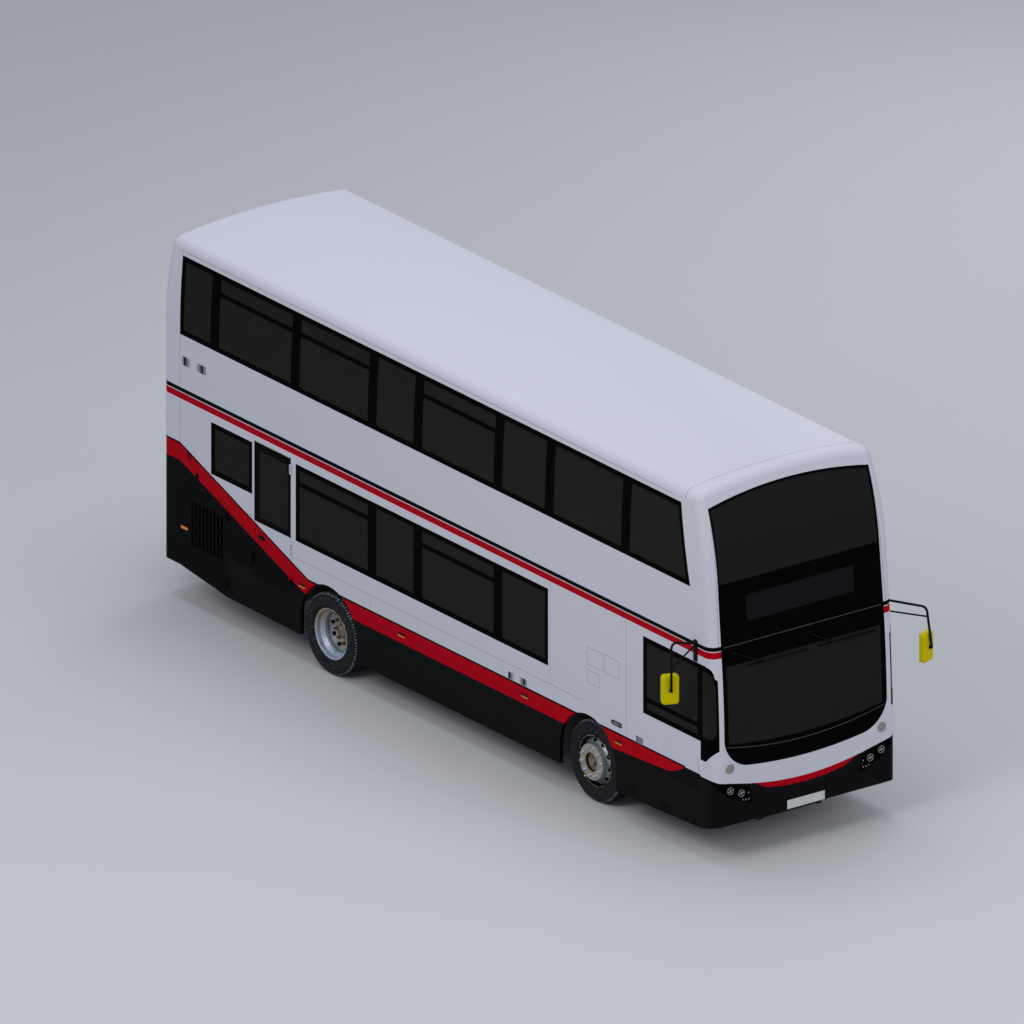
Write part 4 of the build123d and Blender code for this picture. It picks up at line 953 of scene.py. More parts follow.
def pipe_piece(name, runs, radius, finish_name, body="body"):
    """Smooth round pipes that follow lists of points."""
    curve = bpy.data.curves.new(name, "CURVE")
    curve.dimensions = "3D"
    curve.bevel_depth = radius
    curve.bevel_resolution = 3
    curve.resolution_u = 6
    curve.use_fill_caps = True
    for points in runs:
        spline = curve.splines.new("NURBS")
        spline.points.add(len(points) - 1)
        for target, point in zip(spline.points, points):
            target.co = (*point, 1.0)
        spline.order_u = 3
        spline.use_endpoint_u = True
    maker = bpy.data.objects.new(name + "_route", curve)
    mesh = bpy.data.meshes.new_from_object(maker)
    bpy.data.objects.remove(maker)
    mesh.name = name
    mesh.materials.clear()
    return ride_along(mesh, name, finish_name, body)


def cad_copy(node):
    """A merged bmesh copy of a CAD node's mesh."""
    bm = bmesh.new()
    bm.from_mesh(frame["nodes"][node].data)
    bmesh.ops.remove_doubles(bm, verts=bm.verts[:], dist=0.0002)
    return bm


def corners_of(verts):
    """The low and high corners of the box round some vertices."""
    return [Vector([pick(vert.co[axis] for vert in verts) for axis in range(3)]) for pick in (min, max)]


def islands(bm):
    """The separate solids of a mesh, each as a list of its vertices."""
    left, groups = set(bm.verts), []
    while left:
        group, queue = set(), [left.pop()]
        while queue:
            vert = queue.pop()
            group.add(vert)
            for edge in vert.link_edges:
                other = edge.other_vert(vert)
                if other in left:
                    left.discard(other)
                    queue.append(other)
        groups.append(list(group))
    return groups


class Maker:
    """What every operator of the add-on shares."""

    bl_options = {"REGISTER", "UNDO"}

    def execute(self, context):
        self.make(context)
        return {"FINISHED"}


class BUS_OT_paint(Maker, bpy.types.Operator):
    """Give every part of the frame its finish"""

    bl_idname = "bus.paint"
    bl_label = "Paint the frame"

    def make(self, context):
        build_band_group()
        build_coat_group()
        build_grain_group()
        build_worn_metal_group()
        build_weave_group()
        for name, nodes in NODE_FINISHES.items():
            for node in nodes:
                for place in frame["nodes"][node].material_slots:
                    place.material = finish(name)


# ---------------------------------------------------------------- tyres and wheels
TYRE_LOW, TYRE_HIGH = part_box("front_tyre_right")
TYRE_HALF = (TYRE_HIGH.y - TYRE_LOW.y) / 2
TYRE_RADIUS = TYRE_HIGH.z / 2
FRONT_WHEEL_Y = abs(FRONT_AXLE.y)
REAR_WHEEL_Y = abs(REAR_AXLE.y)
TWIN_SPACING = (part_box("rear_tyres_right")[1].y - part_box("rear_tyres_right")[0].y) - 2 * TYRE_HALF
TREAD_STEPS = 168
TYRE_BORE = 0.2863
RIB_COUNT = 56


def outward(side):
    """The direction away from the bus on one side."""
    return Vector((0.0, float(side), 0.0))


def front_centre(side):
    """The middle of a front wheel."""
    return Vector((FRONT_AXLE.x, side * FRONT_WHEEL_Y, FRONT_AXLE.z))


def rear_centre(side):
    """The middle of an outer rear wheel."""
    return Vector((REAR_AXLE.x, side * REAR_WHEEL_Y, REAR_AXLE.z))


def tyre_outline(depth):
    """One tyre's outline as (out, radius) from the outer heel over the tread to the inner heel."""
    top, edge = TYRE_RADIUS, TYRE_HALF
    flank = [
        (0.105, 0.3050), (0.1135, 0.3110), (0.1175, 0.3220), (0.1222, 0.3245), (0.1290, 0.3380), (0.1345, 0.3580),
        (edge - 0.0004, 0.3810), (0.1362, 0.4020), (0.1336, 0.4220), (0.1326, 0.4245), (0.1340, 0.4275),
        (0.1318, 0.4330), (0.1272, 0.4480), (0.1225, 0.4580), (0.1160, 0.4690), (0.1060, top - 0.0030),
        (0.0980, top - 0.0012),
    ]
    crown = [
        (0.0760, top - 0.0004), (0.0752, top - depth), (0.0668, top - depth), (0.0660, top - 0.0003),
        (0.0290, top), (0.0282, top - depth), (0.0198, top - depth), (0.0190, top),
    ]
    half = flank + crown
    return half + [(-out, radius) for out, radius in reversed(half)]


def add_tyre(bm, centre):
    """A treaded tyre about the axle through centre."""
    depth = sizes().tread
    centre = Vector(centre)
    outline = tyre_outline(depth) + [(-0.105, TYRE_BORE), (0.105, TYRE_BORE)]
    add_turned(bm, outline, centre, steps=TREAD_STEPS, closed=True)
    bmesh.ops.remove_doubles(bm, verts=bm.verts[:], dist=0.00005)
    shoulder, middle = [], []
    for face in bm.faces:
        at = face.calc_center_median() - centre
        radius = Vector((at.x, at.z)).length
        if radius < TYRE_RADIUS - 0.003:
            continue
        step = int(round((turn_about_axle(at) / tau) * TREAD_STEPS - 0.5)) % TREAD_STEPS
        if 0.076 < abs(at.y) < 0.0980 and (step + (at.y > 0)) % 3 == 0:
            shoulder.append(face)
        elif 0.030 < abs(at.y) < 0.066 and (step + (at.y > 0)) % 4 == 0:
            middle.append(face)
    for faces, inward in ((shoulder, depth * 0.7), (middle, depth * 0.35)):
        made = bmesh.ops.extrude_discrete_faces(bm, faces=faces)["faces"]
        for face in made:
            at = face.calc_center_median() - centre
            out = Vector((at.x, 0.0, at.z)).normalized()
            bmesh.ops.translate(bm, verts=face.verts[:], vec=-out * inward)


def turn_about_axle(at):
    """The turn of a point about the axle, from 0 to a full turn."""
    turn = Vector((1.0, 0.0)).angle_signed(Vector((at.x, at.z)), 0.0)
    return turn % tau


def add_sidewall_ribs(bm, centre, side):
    """Short raised ribs near the shoulder, and a fine ring near the rim, on a tyre's outer flank."""
    centre = Vector(centre)
    for index in range(RIB_COUNT):
        turn = Matrix.Rotation(tau * index / RIB_COUNT, 4, "Y")
        low = Vector((-0.0018, side * 0.1308, 0.436))
        high = Vector((0.0018, side * 0.1342, 0.456))
        place = Matrix.Translation(centre) @ turn @ Matrix.Translation((low + high) / 2)
        lean = Matrix.Rotation(side * radians(-17), 4, "X")
        size = Matrix.Diagonal((high.x - low.x, abs(high.y - low.y) * 0.8, high.z - low.z, 1.0))
        bmesh.ops.create_cube(bm, size=1.0, matrix=place @ lean @ size)


class BUS_OT_tyres(Maker, bpy.types.Operator):
    """Fit treaded tyres over the plain ones"""

    bl_idname = "bus.tyres"
    bl_label = "Treaded tyres"

    def make(self, context):
        for side_name, side in SIDES:
            bm = bmesh.new()
            centre = front_centre(side)
            add_tyre(bm, centre)
            add_sidewall_ribs(bm, centre, side)
            make_piece(bm, f"front_treaded_tyre_{side_name}", "tyre_rubber", body=f"front_wheel_{side_name}",
                       replaces=(f"front_tyre_{side_name}",), sharp=38.0)
            bm = bmesh.new()
            outer = rear_centre(side)
            add_tyre(bm, outer)
            inner = bmesh.new()
            add_tyre(inner, outer - Vector((0.0, side * TWIN_SPACING, 0.0)))
            add_sidewall_ribs(bm, outer, side)
            merge_in(bm, inner)
            make_piece(bm, f"rear_treaded_tyres_{side_name}", "tyre_rubber", body=f"rear_wheels_{side_name}",
                       replaces=(f"rear_tyres_{side_name}",), sharp=38.0)


def add_nut(bm, centre, side, tall):
    """A wheel nut on its washer, standing out along Y."""
    centre = Vector(centre)
    out = outward(side)
    width = sizes().nut
    add_rod(bm, centre, centre + out * 0.004, width * 0.70, steps=20, bevel=0.001)
    add_rod(bm, centre + out * 0.004, centre + out * tall, width / 2 / cos(pi / 6), steps=6, bevel=0.0016)
    add_rod(bm, centre + out * tall, centre + out * (tall + 0.009), width * 0.30, width * 0.24, steps=12, bevel=0.001)


RIM_BARREL = (  # (out, radius) round a rim's section, from the outer lip over the tyre's seats and back inside
    (0.1165, 0.3000), (0.1120, 0.3000), (0.1080, 0.2955), (0.1050, 0.2858), (0.0600, 0.2855), (0.0450, 0.2620),
    (0.0200, 0.2460), (-0.0200, 0.2460), (-0.0450, 0.2620), (-0.0600, 0.2855), (-0.1050, 0.2858), (-0.1080, 0.2955),
    (-0.1120, 0.3000), (-0.1165, 0.2995), (-0.1170, 0.2920), (-0.1100, 0.2800), (-0.1000, 0.2765), (-0.0620, 0.2750),
    (-0.0400, 0.2520), (-0.0180, 0.2370), (0.0180, 0.2370), (0.0400, 0.2520), (0.0620, 0.2750), (0.1000, 0.2765),
    (0.1100, 0.2800), (0.1170, 0.2925),
)
FRONT_DISC = (  # domed outwards: nut plate, rounded edge, wall and cone down to the barrel
    (0.1710, 0.1120), (0.1710, 0.2060), (0.1690, 0.2115), (0.1640, 0.2140), (0.1180, 0.2190), (0.1080, 0.2230),
    (0.0700, 0.2560), (0.0640, 0.2745), (0.0540, 0.2745), (0.0590, 0.2500), (0.0990, 0.2150), (0.1120, 0.2095),
    (0.1560, 0.2050), (0.1590, 0.2010), (0.1590, 0.1120),
)
REAR_DISC = (  # dished inwards: cone from the barrel down to the nut plate
    (-0.0950, 0.1120), (-0.0950, 0.1860), (-0.0920, 0.1935), (-0.0500, 0.2480), (-0.0420, 0.2560), (-0.0200, 0.2365),
    (-0.0320, 0.2365), (-0.0530, 0.2600), (-0.0620, 0.2530), (-0.1035, 0.1990), (-0.1070, 0.1900), (-0.1070, 0.1120),
)
NUT_CIRCLE, NUT_TURN = 0.1675, radians(9.0)
HAND_HOLES = 10
FRONT_HOLES = (0.084, 0.2440, 0.0310, 1.15)  # how far out, circle's radius, hole's radius and slope of the drilling
REAR_HOLES = (-0.0740, 0.2175, 0.0270, -0.72)
FRONT_HUB = (
    (0.060, 0.0001), (0.060, 0.1115), (0.132, 0.1115), (0.135, 0.1080), (0.135, 0.0580), (0.140, 0.0520),
    (0.160, 0.0490), (0.1675, 0.0450), (0.1700, 0.0360), (0.1710, 0.0001),
)
REAR_HUB = (
    (-0.260, 0.0001), (-0.260, 0.1115), (-0.0905, 0.1115), (-0.0880, 0.1090), (-0.0880, 0.0960), (-0.0560, 0.0940),
    (-0.0500, 0.0900), (-0.0500, 0.0640), (-0.0440, 0.0600), (-0.0400, 0.0300), (-0.0400, 0.0001),
)


def pierced(bm, cutters):
    """The mesh with the cutters' volume taken out of it."""
    solids = []
    for shape in (bm, cutters):
        tidy_mesh(shape)
        solids.append(linked("pierce", flushed(shape, "pierce")))
    cut = solids[0].modifiers.new("holes", "BOOLEAN")
    cut.operation, cut.solver, cut.object = "DIFFERENCE", "EXACT", solids[1]
    left = bmesh.new()
    left.from_object(solids[0], bpy.context.evaluated_depsgraph_get())
    for solid in solids:
        mesh = solid.data
        bpy.data.objects.remove(solid)
        bpy.data.meshes.remove(mesh)
    return left


def wheel_circle(centre, count, radius, turn=0.0):
    """Places spread round an axle."""
    for index in range(count):
        angle = turn + tau * index / count
        yield centre + Vector((radius * cos(angle), 0.0, radius * sin(angle)))


def turned_section(bm, section, centre, side, steps=80, closed=True):
    """A section spun round an axle, its outside towards the bus's side."""
    add_turned(bm, [(side * out, radius) for out, radius in section], centre, steps=steps, closed=closed)


def drilled_disc(section, centre, side, hole_out, hole_radius, hole_size, slope):
    """A wheel disc with its hand holes."""
    disc, drills = bmesh.new(), bmesh.new()
    turned_section(disc, section, centre, side)
    for place in wheel_circle(centre, HAND_HOLES, hole_radius, NUT_TURN + pi / HAND_HOLES):
        radial = (place - centre).normalized()
        middle = place + Vector((0.0, side * hole_out, 0.0))
        way = (radial * slope + outward(side)).normalized() * 0.035
        add_rod(drills, middle - way, middle + way, hole_size, steps=20)
    return pierced(disc, drills)


class BUS_OT_wheels(Maker, bpy.types.Operator):
    """Build the rims, pierced discs, hubs, nuts, valves and bright lips"""

    bl_idname = "bus.wheels"
    bl_label = "Wheels"

    def make(self, context):
        for side_name, side in SIDES:
            self.front(side_name, side)
            self.rear(side_name, side)

    def lip(self, name, centre, side, body, valve_y):
        """The bright ring round a rim, with the tyre's valve."""
        bm = bmesh.new()
        add_ring(bm, centre + Vector((0.0, side * 0.1165, 0.0)), (0.0, 1.0, 0.0), 0.2972, 0.0026, steps=96)
        valve = centre + Vector((0.245, side * valve_y, 0.0))
        add_rod(bm, valve, valve + Vector((-0.012, side * 0.045, 0.0)), 0.0042, steps=12)
        make_piece(bm, name, "sparkle_metal", body=body)

    def front(self, side_name, side):
        body, node = f"front_wheel_{side_name}", (f"front_rim_{side_name}",)
        centre = front_centre(side)
        out = outward(side)
        bm = bmesh.new()
        turned_section(bm, RIM_BARREL, centre, side)
        # the barrel is painted near black as the shadow inside the rim
        make_piece(bm, f"front_rim_barrel_{side_name}", "rim_black", body=body, replaces=node)
        bm = drilled_disc(FRONT_DISC, centre, side, *FRONT_HOLES)
        make_piece(bm, f"front_wheel_disc_{side_name}", "wheel_paint", body=body, replaces=node)
        bm = bmesh.new()
        turned_section(bm, FRONT_HUB, centre, side, steps=56, closed=False)
        for place in wheel_circle(centre + out * 0.134, 8, 0.0830, 0.2):
            add_rod(bm, place, place + out * 0.009, 0.0080, steps=6, bevel=0.001)
        make_piece(bm, f"front_hub_{side_name}", "hub_dust", body=body, replaces=node)
        bm = bmesh.new()
        for place in wheel_circle(centre + out * 0.171, 10, NUT_CIRCLE, NUT_TURN):
            add_nut(bm, place, side, 0.024)
        make_piece(bm, f"front_wheel_nuts_{side_name}", "nut_metal", body=body, replaces=node)
        self.lip(f"front_rim_lip_{side_name}", centre, side, body, 0.085)

    def rear(self, side_name, side):
        body, node = f"rear_wheels_{side_name}", (f"rear_rims_{side_name}",)
        centre = rear_centre(side)
        inner = centre - Vector((0.0, side * TWIN_SPACING, 0.0))
        out = outward(side)
        bm = bmesh.new()
        turned_section(bm, RIM_BARREL, centre, side)
        turned_section(bm, RIM_BARREL, inner, side)
        # the barrels carry a painted reflection, tan above and bluish below
        make_piece(bm, f"rear_rim_barrels_{side_name}", "dish_paint", body=body, replaces=node)
        bm = drilled_disc(REAR_DISC, centre, side, *REAR_HOLES)
        merge_in(bm, drilled_disc(FRONT_DISC, inner, side, *FRONT_HOLES))
        make_piece(bm, f"rear_wheel_discs_{side_name}", "wheel_paint", body=body, replaces=node)
        bm = bmesh.new()
        turned_section(bm, REAR_HUB, centre, side, steps=56, closed=False)
        make_piece(bm, f"rear_hub_{side_name}", "hub_dust", body=body, replaces=node)
        bm = bmesh.new()
        for place in wheel_circle(centre - out * 0.095, 10, NUT_CIRCLE, NUT_TURN):
            add_nut(bm, place, side, 0.036)
        for place in wheel_circle(centre - out * 0.050, 12, 0.0770, 0.1):
            add_rod(bm, place, place + out * 0.012, 0.0085, steps=6, bevel=0.001)
        make_piece(bm, f"rear_wheel_nuts_{side_name}", "dusty_nut", body=body, replaces=node)
        self.lip(f"rear_rim_lip_{side_name}", centre, side, body, 0.060)


# ---------------------------------------------------------------- lamps and mirrors
NOSE_CORNER = 0.12  # radius of the bumper's upright corners
BOWLS = ((1.048, 0.840), (0.895, 0.778))  # (y, z) of a headlamp's round reflectors
BOWL_RADIUS = 0.041
DIODES = ((0.795, 0.765), (0.785, 0.725), (0.795, 0.690), (0.835, 0.687), (0.872, 0.694))
MARKER_Z = 0.905
MARKERS = (-0.49, 1.35, 3.63, 5.37)  # from the rear axle
ACROSS_NOSE = (1.0, 0.0, 0.0)


class BUS_OT_lamps(Maker, bpy.types.Operator):
    """Fit bezels, reflectors and diodes to the head, tail and side lamps"""

    bl_idname = "bus.lamps"
    bl_label = "Lamp details"

    def make(self, context):
        bright, black, lens, cream = bmesh.new(), bmesh.new(), bmesh.new(), bmesh.new()
        for _, side in SIDES:
            for y, z in BOWLS:
                at = Vector((self.skin_x(y) - 0.003, side * y, z))
                add_ring(bright, at + Vector((0.006, 0, 0)), ACROSS_NOSE, BOWL_RADIUS, 0.0038, steps=40)
                add_rod(lens, at, at + Vector((0.0055, 0.0, 0.0)), BOWL_RADIUS - 0.004, steps=40, bevel=0.001)
                for turn in (0.35, 0.35 + pi / 2):
                    bar = Vector((0.0, cos(turn), sin(turn))) * (BOWL_RADIUS - 0.006)
                    lift = Vector((0.0062, 0.0, 0.0))
                    add_rod(bright, at - bar + lift, at + bar + lift, 0.0034, steps=10)
                bmesh.ops.create_uvsphere(
                    bright, u_segments=20, v_segments=10, radius=BOWL_RADIUS * 0.36,
                    matrix=Matrix.Translation(at + Vector((0.005, 0, 0))) @ Matrix.Diagonal((0.22, 1.0, 1.0, 1.0)))
            for y, z in DIODES:
                at = Vector((self.skin_x(y) - 0.002, side * y, z))
                add_rod(bright, at, at + Vector((0.005, 0.0, 0.0)), 0.0090, steps=16, bevel=0.001)
            at = Vector((NOSE_X + 0.0085, side * 1.054, 1.106))
            add_rod(cream, at, at + Vector((0.0035, 0.0, 0.0)), 0.0565, 0.0545, steps=48)
            at.x += 0.0032
            for radius in (0.012, 0.023, 0.034):
                add_ring(cream, at, ACROSS_NOSE, radius, 0.0020, steps=36, around=8)
            add_ring(cream, at, ACROSS_NOSE, 0.051, 0.0034, steps=48)
            hook = Vector((self.skin_x(1.01) - 0.004, side * 1.011, 0.554))
            add_ring(black, hook + Vector((0.008, 0, 0)), ACROSS_NOSE, 0.026, 0.004, steps=28)
            add_rod(black, hook, hook + Vector((0.007, 0.0, 0.0)), 0.024, steps=28, bevel=0.001)
        make_piece(bright, "headlamp_reflectors", "lamp_silver")
        make_piece(lens, "headlamp_lenses", "clear_lens")
        make_piece(cream, "front_indicator_rings", "lamp_cream")
        make_piece(black, "tow_eye_covers", "black_metal")
        self.tail()
        self.markers()
        self.repeaters()

    def skin_x(self, y):
        """The nose's skin at a distance from the middle, low on the bumper."""
        inner = SIDE_Y - NOSE_CORNER
        if abs(y) <= inner:
            return NOSE_X
        lean = min(1.0, (abs(y) - inner) / NOSE_CORNER)
        return NOSE_X - NOSE_CORNER * (1.0 - cos(angle_of_sine(lean)))

    def tail(self):
        rings, inner = bmesh.new(), bmesh.new()
        low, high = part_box("rear_lamps")
        for _, side in SIDES:
            for index in range(4):
                z = low.z + 0.060 + 0.150 * index
                at = Vector((low.x - 0.0005, side * (high.y - 0.060), z))
                add_ring(rings, at + Vector((0.004, 0, 0)), ACROSS_NOSE, 0.0615, 0.0042, steps=40)
                for radius in (0.018, 0.036):
                    add_ring(inner, at, ACROSS_NOSE, radius, 0.0016, steps=32, around=8)
        make_piece(rings, "tail_lamp_bezels", "chrome")
        make_piece(inner, "tail_lamp_optics", "red_lens")

    def markers(self):
        frames = bmesh.new()
        for _, side in SIDES:
            skin = side * SIDE_Y
            for x in MARKERS:
                at = Vector((REAR_AXLE.x + x, skin, MARKER_Z))
                for dz in (-0.0195, 0.0195):
                    add_slab(frames, at, (-0.064, -0.0040, dz - 0.002), (0.064, 0.0040, dz + 0.002), 0.0008)
                add_slab(frames, at, (-0.062, -0.0082, 0.0030), (0.062, 0.0082, 0.0190), 0.0008)
                for dx in (-0.031, 0.0, 0.031):
                    add_slab(frames, at, (dx - 0.0026, -0.0082, -0.0080), (dx + 0.0026, 0.0082, 0.0040), 0.0006)
                for dx in (-0.0625, 0.0625):
                    add_slab(frames, at, (dx - 0.002, -0.0040, -0.0195), (dx + 0.002, 0.0040, 0.0195), 0.0008)
        make_piece(frames, "side_marker_bezels", "black_metal")
        make_piece(self.tail_marker(-1), "rear_side_marker", "orange_lens", body="radiator_door")
        make_piece(self.tail_marker(1), "rear_side_marker_left", "orange_lens")

    def repeaters(self):
        """Oval side repeaters: a dark bezel round a mottled lens, and the reflector ahead of the right one."""
        bezel, lens, pale = bmesh.new(), bmesh.new(), bmesh.new()
        for _, side in SIDES:
            out = outward(side)
            at = Vector((REAR_AXLE.x + 5.333, side * SIDE_Y, 1.122))
            for bm, half, radius, deep in ((bezel, 0.0990, 0.0270, 0.0088), (lens, 0.0850, 0.0165, 0.0104)):
                for end in (-1, 1):
                    spot = at + Vector((end * (half - radius), 0.0, 0.0))
                    add_rod(bm, spot, spot + out * deep, radius, radius * 0.94, steps=32)
                low = at + Vector((-(half - radius), -0.001, -radius * 0.97))
                high = at + Vector((half - radius, 0.001, radius * 0.97))
                if side > 0:
                    high.y += deep - 0.001
                else:
                    low.y -= deep - 0.001
                add_block(bm, low, high)
        low = Vector((REAR_AXLE.x + 5.690, -SIDE_Y - 0.0035, 1.015))
        add_block(pale, low, low + Vector((0.128, 0.007, 0.085)), 0.0028, 3)
        make_piece(bezel, "side_repeater_bezels", "black_metal")
        make_piece(lens, "side_repeater_lenses", "mottled_lens")
        make_piece(pale, "side_reflector", "mottled_lens")

    def tail_marker(self, side):
        """The marker lamp over the tail's overhang."""
        bm = bmesh.new()
        at = Vector((REAR_AXLE.x - 2.670, side * SIDE_Y, MARKER_Z))
        add_slab(bm, at, (-0.060, -0.0058, -0.016), (0.060, 0.0058, 0.016), 0.0030, 3)
        return bm


def angle_of_sine(value):
    """The angle whose sine is value."""
    return Vector(((1.0 - value * value) ** 0.5, value)).angle_signed(Vector((1.0, 0.0)), 0.0)


MIRROR_TURN = 24.0  # each mirror's outer edge is turned back by this many degrees


class BUS_OT_mirrors(Maker, bpy.types.Operator):
    """Add the mirrors' glass and gaskets"""

    bl_idname = "bus.mirrors"
    bl_label = "Mirrors"

    def make(self, context):
        glass, gasket = bmesh.new(), bmesh.new()
        heads = cad_copy("mirror_heads")
        for group in islands(heads):
            low, high = corners_of(group)
            middle = (low + high) / 2
            side = 1.0 if middle.y > 0 else -1.0
            place = Matrix.Translation(middle) @ Matrix.Rotation(side * radians(MIRROR_TURN), 4, "Z")
            tall, wide, thick = high.z - low.z, 0.200, 0.075
            for bm, inset, out in ((gasket, 0.012, 0.0026), (glass, 0.020, 0.0044)):
                pad = bmesh.new()
                add_block(pad, (-thick / 2 - out, inset - wide / 2, inset - tall / 2),
                          (0.004 - thick / 2, wide / 2 - inset, tall / 2 - inset), 0.0016, 2)
                bmesh.ops.transform(pad, matrix=place, verts=pad.verts[:])
                merge_in(bm, pad)
        heads.free()
        make_piece(gasket, "mirror_gaskets", "black_metal")
        make_piece(glass, "mirror_glasses", "chrome")


# ---------------------------------------------------------------- side fittings
PLATE_EDGES = (0.4315, 0.5445)  # z of the front plate's lower and upper edges
ENTRANCE_X = 5.0  # from here forward the left side is the entrance
SKIRT_SLOTS = (  # low and high x from the rear axle, low and high z
    (-2.815, -2.765, 1.300, 1.330), (-2.463, -2.410, 1.554, 1.630), (-2.567, -2.463, 1.468, 1.492),
    (5.552, 5.668, 0.418, 0.460), (6.101, 6.256, 0.392, 0.446), (6.676, 6.780, 0.405, 0.455),
)
DOOR_CATCHES = ((-2.700, -2.610, 1.300, 1.330), (-2.410, -2.327, 1.372, 1.426), (-2.719, -2.616, 0.726, 0.760))


class BUS_OT_side_fittings(Maker, bpy.types.Operator):
    """Add catches, slots, door handles, locks and the plate bracket"""

    bl_idname = "bus.side_fittings"
    bl_label = "Side fittings"

    def make(self, context):
        catches, door_catches = bmesh.new(), bmesh.new()
        for _, side in SIDES:
            skin = side * SIDE_Y
            for slot in SKIRT_SLOTS:
                if side < 0 or slot[0] <= ENTRANCE_X:
                    self.plug(catches, skin, *slot)
        for catch in DOOR_CATCHES:
            self.plug(door_catches, -SIDE_Y, *catch)
        make_piece(catches, "skirt_slots", "gap_black")
        make_piece(door_catches, "radiator_door_catches", "gap_black", body="radiator_door")
        self.latches()
        self.bracket()

    def plug(self, bm, skin, low_x, high_x, low_z, high_z):
        """A thin dark plug set in a side's skin."""
        add_block(bm, (REAR_AXLE.x + low_x, skin - 0.003, low_z), (REAR_AXLE.x + high_x, skin + 0.003, high_z), 0.0016)

    def lock(self, bm, x, z, radius):
        """A round lock on the right side; returns its place."""
        at = Vector((REAR_AXLE.x + x, -SIDE_Y, z))
        add_pin(bm, at, (0.0, 0.003, 0.0), (0.0, -0.004, 0.0), radius, steps=24, bevel=0.0015)
        return at

    def latches(self):
        """Flush handles and catches on the doors and covers."""
        bm = bmesh.new()
        at = Vector((REAR_AXLE.x - 1.244, -SIDE_Y, 1.240))
        add_slab(bm, at, (-0.060, -0.006, -0.022), (0.060, 0.004, 0.022), 0.003)
        add_pin(bm, at, (-0.035, -0.004, 0.0), (-0.035, -0.014, 0.0), 0.015, steps=24, bevel=0.002)
        add_slab(bm, at, (-0.040, -0.016, -0.007), (0.052, -0.008, 0.007), 0.003)
        make_piece(bm, "emergency_door_handle", "black_metal", body="emergency_door")
        bm = bmesh.new()
        for x, z in ((-2.700, 1.388), (-2.700, 0.460)):
            at = self.lock(bm, x, z, 0.016)
            add_slab(bm, at, (-0.010, -0.006, -0.0025), (0.010, -0.003, 0.0025), 0.001)
        make_piece(bm, "radiator_door_locks", "black_metal", body="radiator_door")
        bm = bmesh.new()
        at = self.lock(bm, -1.685, 0.945, 0.014)
        add_slab(bm, at, (-0.009, -0.006, -0.002), (0.009, -0.003, 0.002), 0.001)
        make_piece(bm, "filler_flap_lock", "black_metal", body="filler_flap")
        bm = bmesh.new()
        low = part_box("engine_cover")[0]
        for y in (-0.62, 0.62):
            at = Vector((TAIL_X, y, low.z + 0.075))
            add_slab(bm, at, (-0.006, -0.055, -0.018), (0.003, 0.055, 0.018), 0.003)
            add_slab(bm, at, (-0.012, -0.040, -0.006), (-0.004, 0.040, 0.006), 0.002)
        make_piece(bm, "engine_cover_latches", "black_metal", body="engine_cover")

    def bracket(self):
        """The bracket behind the front plate, and screws on both plates."""
        low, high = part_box("number_plates")
        bm = bmesh.new()
        back, face = NOSE_X - 0.002, NOSE_X + 0.0085
        for z in PLATE_EDGES:
            add_block(bm, (back, -0.275, z - 0.003), (face, 0.275, z + 0.003), 0.0015)
        for y in (-0.273, 0.273):
            add_block(bm, (back, y - 0.003, PLATE_EDGES[0]), (face, y + 0.003, PLATE_EDGES[1]), 0.0015)
        make_piece(bm, "front_plate_bracket", "black_metal")
        bm = bmesh.new()
        for y in (-0.215, 0.215):
            add_rod(bm, (high.x - 0.002, y, 0.488), (high.x + 0.0022, y, 0.488), 0.0075, 0.0055, steps=20)
            z = high.z - 0.056
            add_rod(bm, (low.x + 0.002, y, z), (low.x - 0.0022, y, z), 0.0075, 0.0055, steps=20)
        make_piece(bm, "plate_screws", "nut_metal")


# ---------------------------------------------------------------- seats
PAIR_WIDTH = 0.6  # a narrower seat is the driver's


def seat_boxes(node):
    """The corners of each seat of a deck."""
    source = cad_copy(node)
    boxes = [corners_of(group) for group in islands(source)]
    source.free()
    return boxes


def pad_form(bm, low, high, crown, squeeze, cuts=7):
    """A crowned cushion between two corners: swollen faces, pulled-in sides and rounded edges."""
    low, high = Vector(low), Vector(high)
    centre, size = (low + high) / 2, high - low
    thin = min(range(3), key=lambda axis: size[axis])
    wide = [axis for axis in range(3) if axis != thin]
    pad = bmesh.new()
    bmesh.ops.create_cube(pad, size=1.0)
    bmesh.ops.subdivide_edges(pad, edges=pad.edges[:], cuts=cuts, use_grid_fill=True)
    for vert in pad.verts:
        u = vert.co * 2.0
        bulge = (1.0 - u[wide[0]] ** 2) * (1.0 - u[wide[1]] ** 2)
        new = vert.co.copy()
        full = bulge ** 0.3 if bulge > 0 else 0.0
        new[thin] = vert.co[thin] * (1.0 - squeeze + squeeze * full)
        for axis in wide:
            other = wide[1] if axis == wide[0] else wide[0]
            pull = crown * 0.12 * (1.0 - u[other] ** 2) * abs(u[axis])
            new[axis] = vert.co[axis] * (1.0 - pull) * (1.0 - 0.035 * abs(u[thin]) ** 3)
        vert.co = centre + Vector(new[axis] * size[axis] for axis in range(3))
    merge_in(bm, pad)


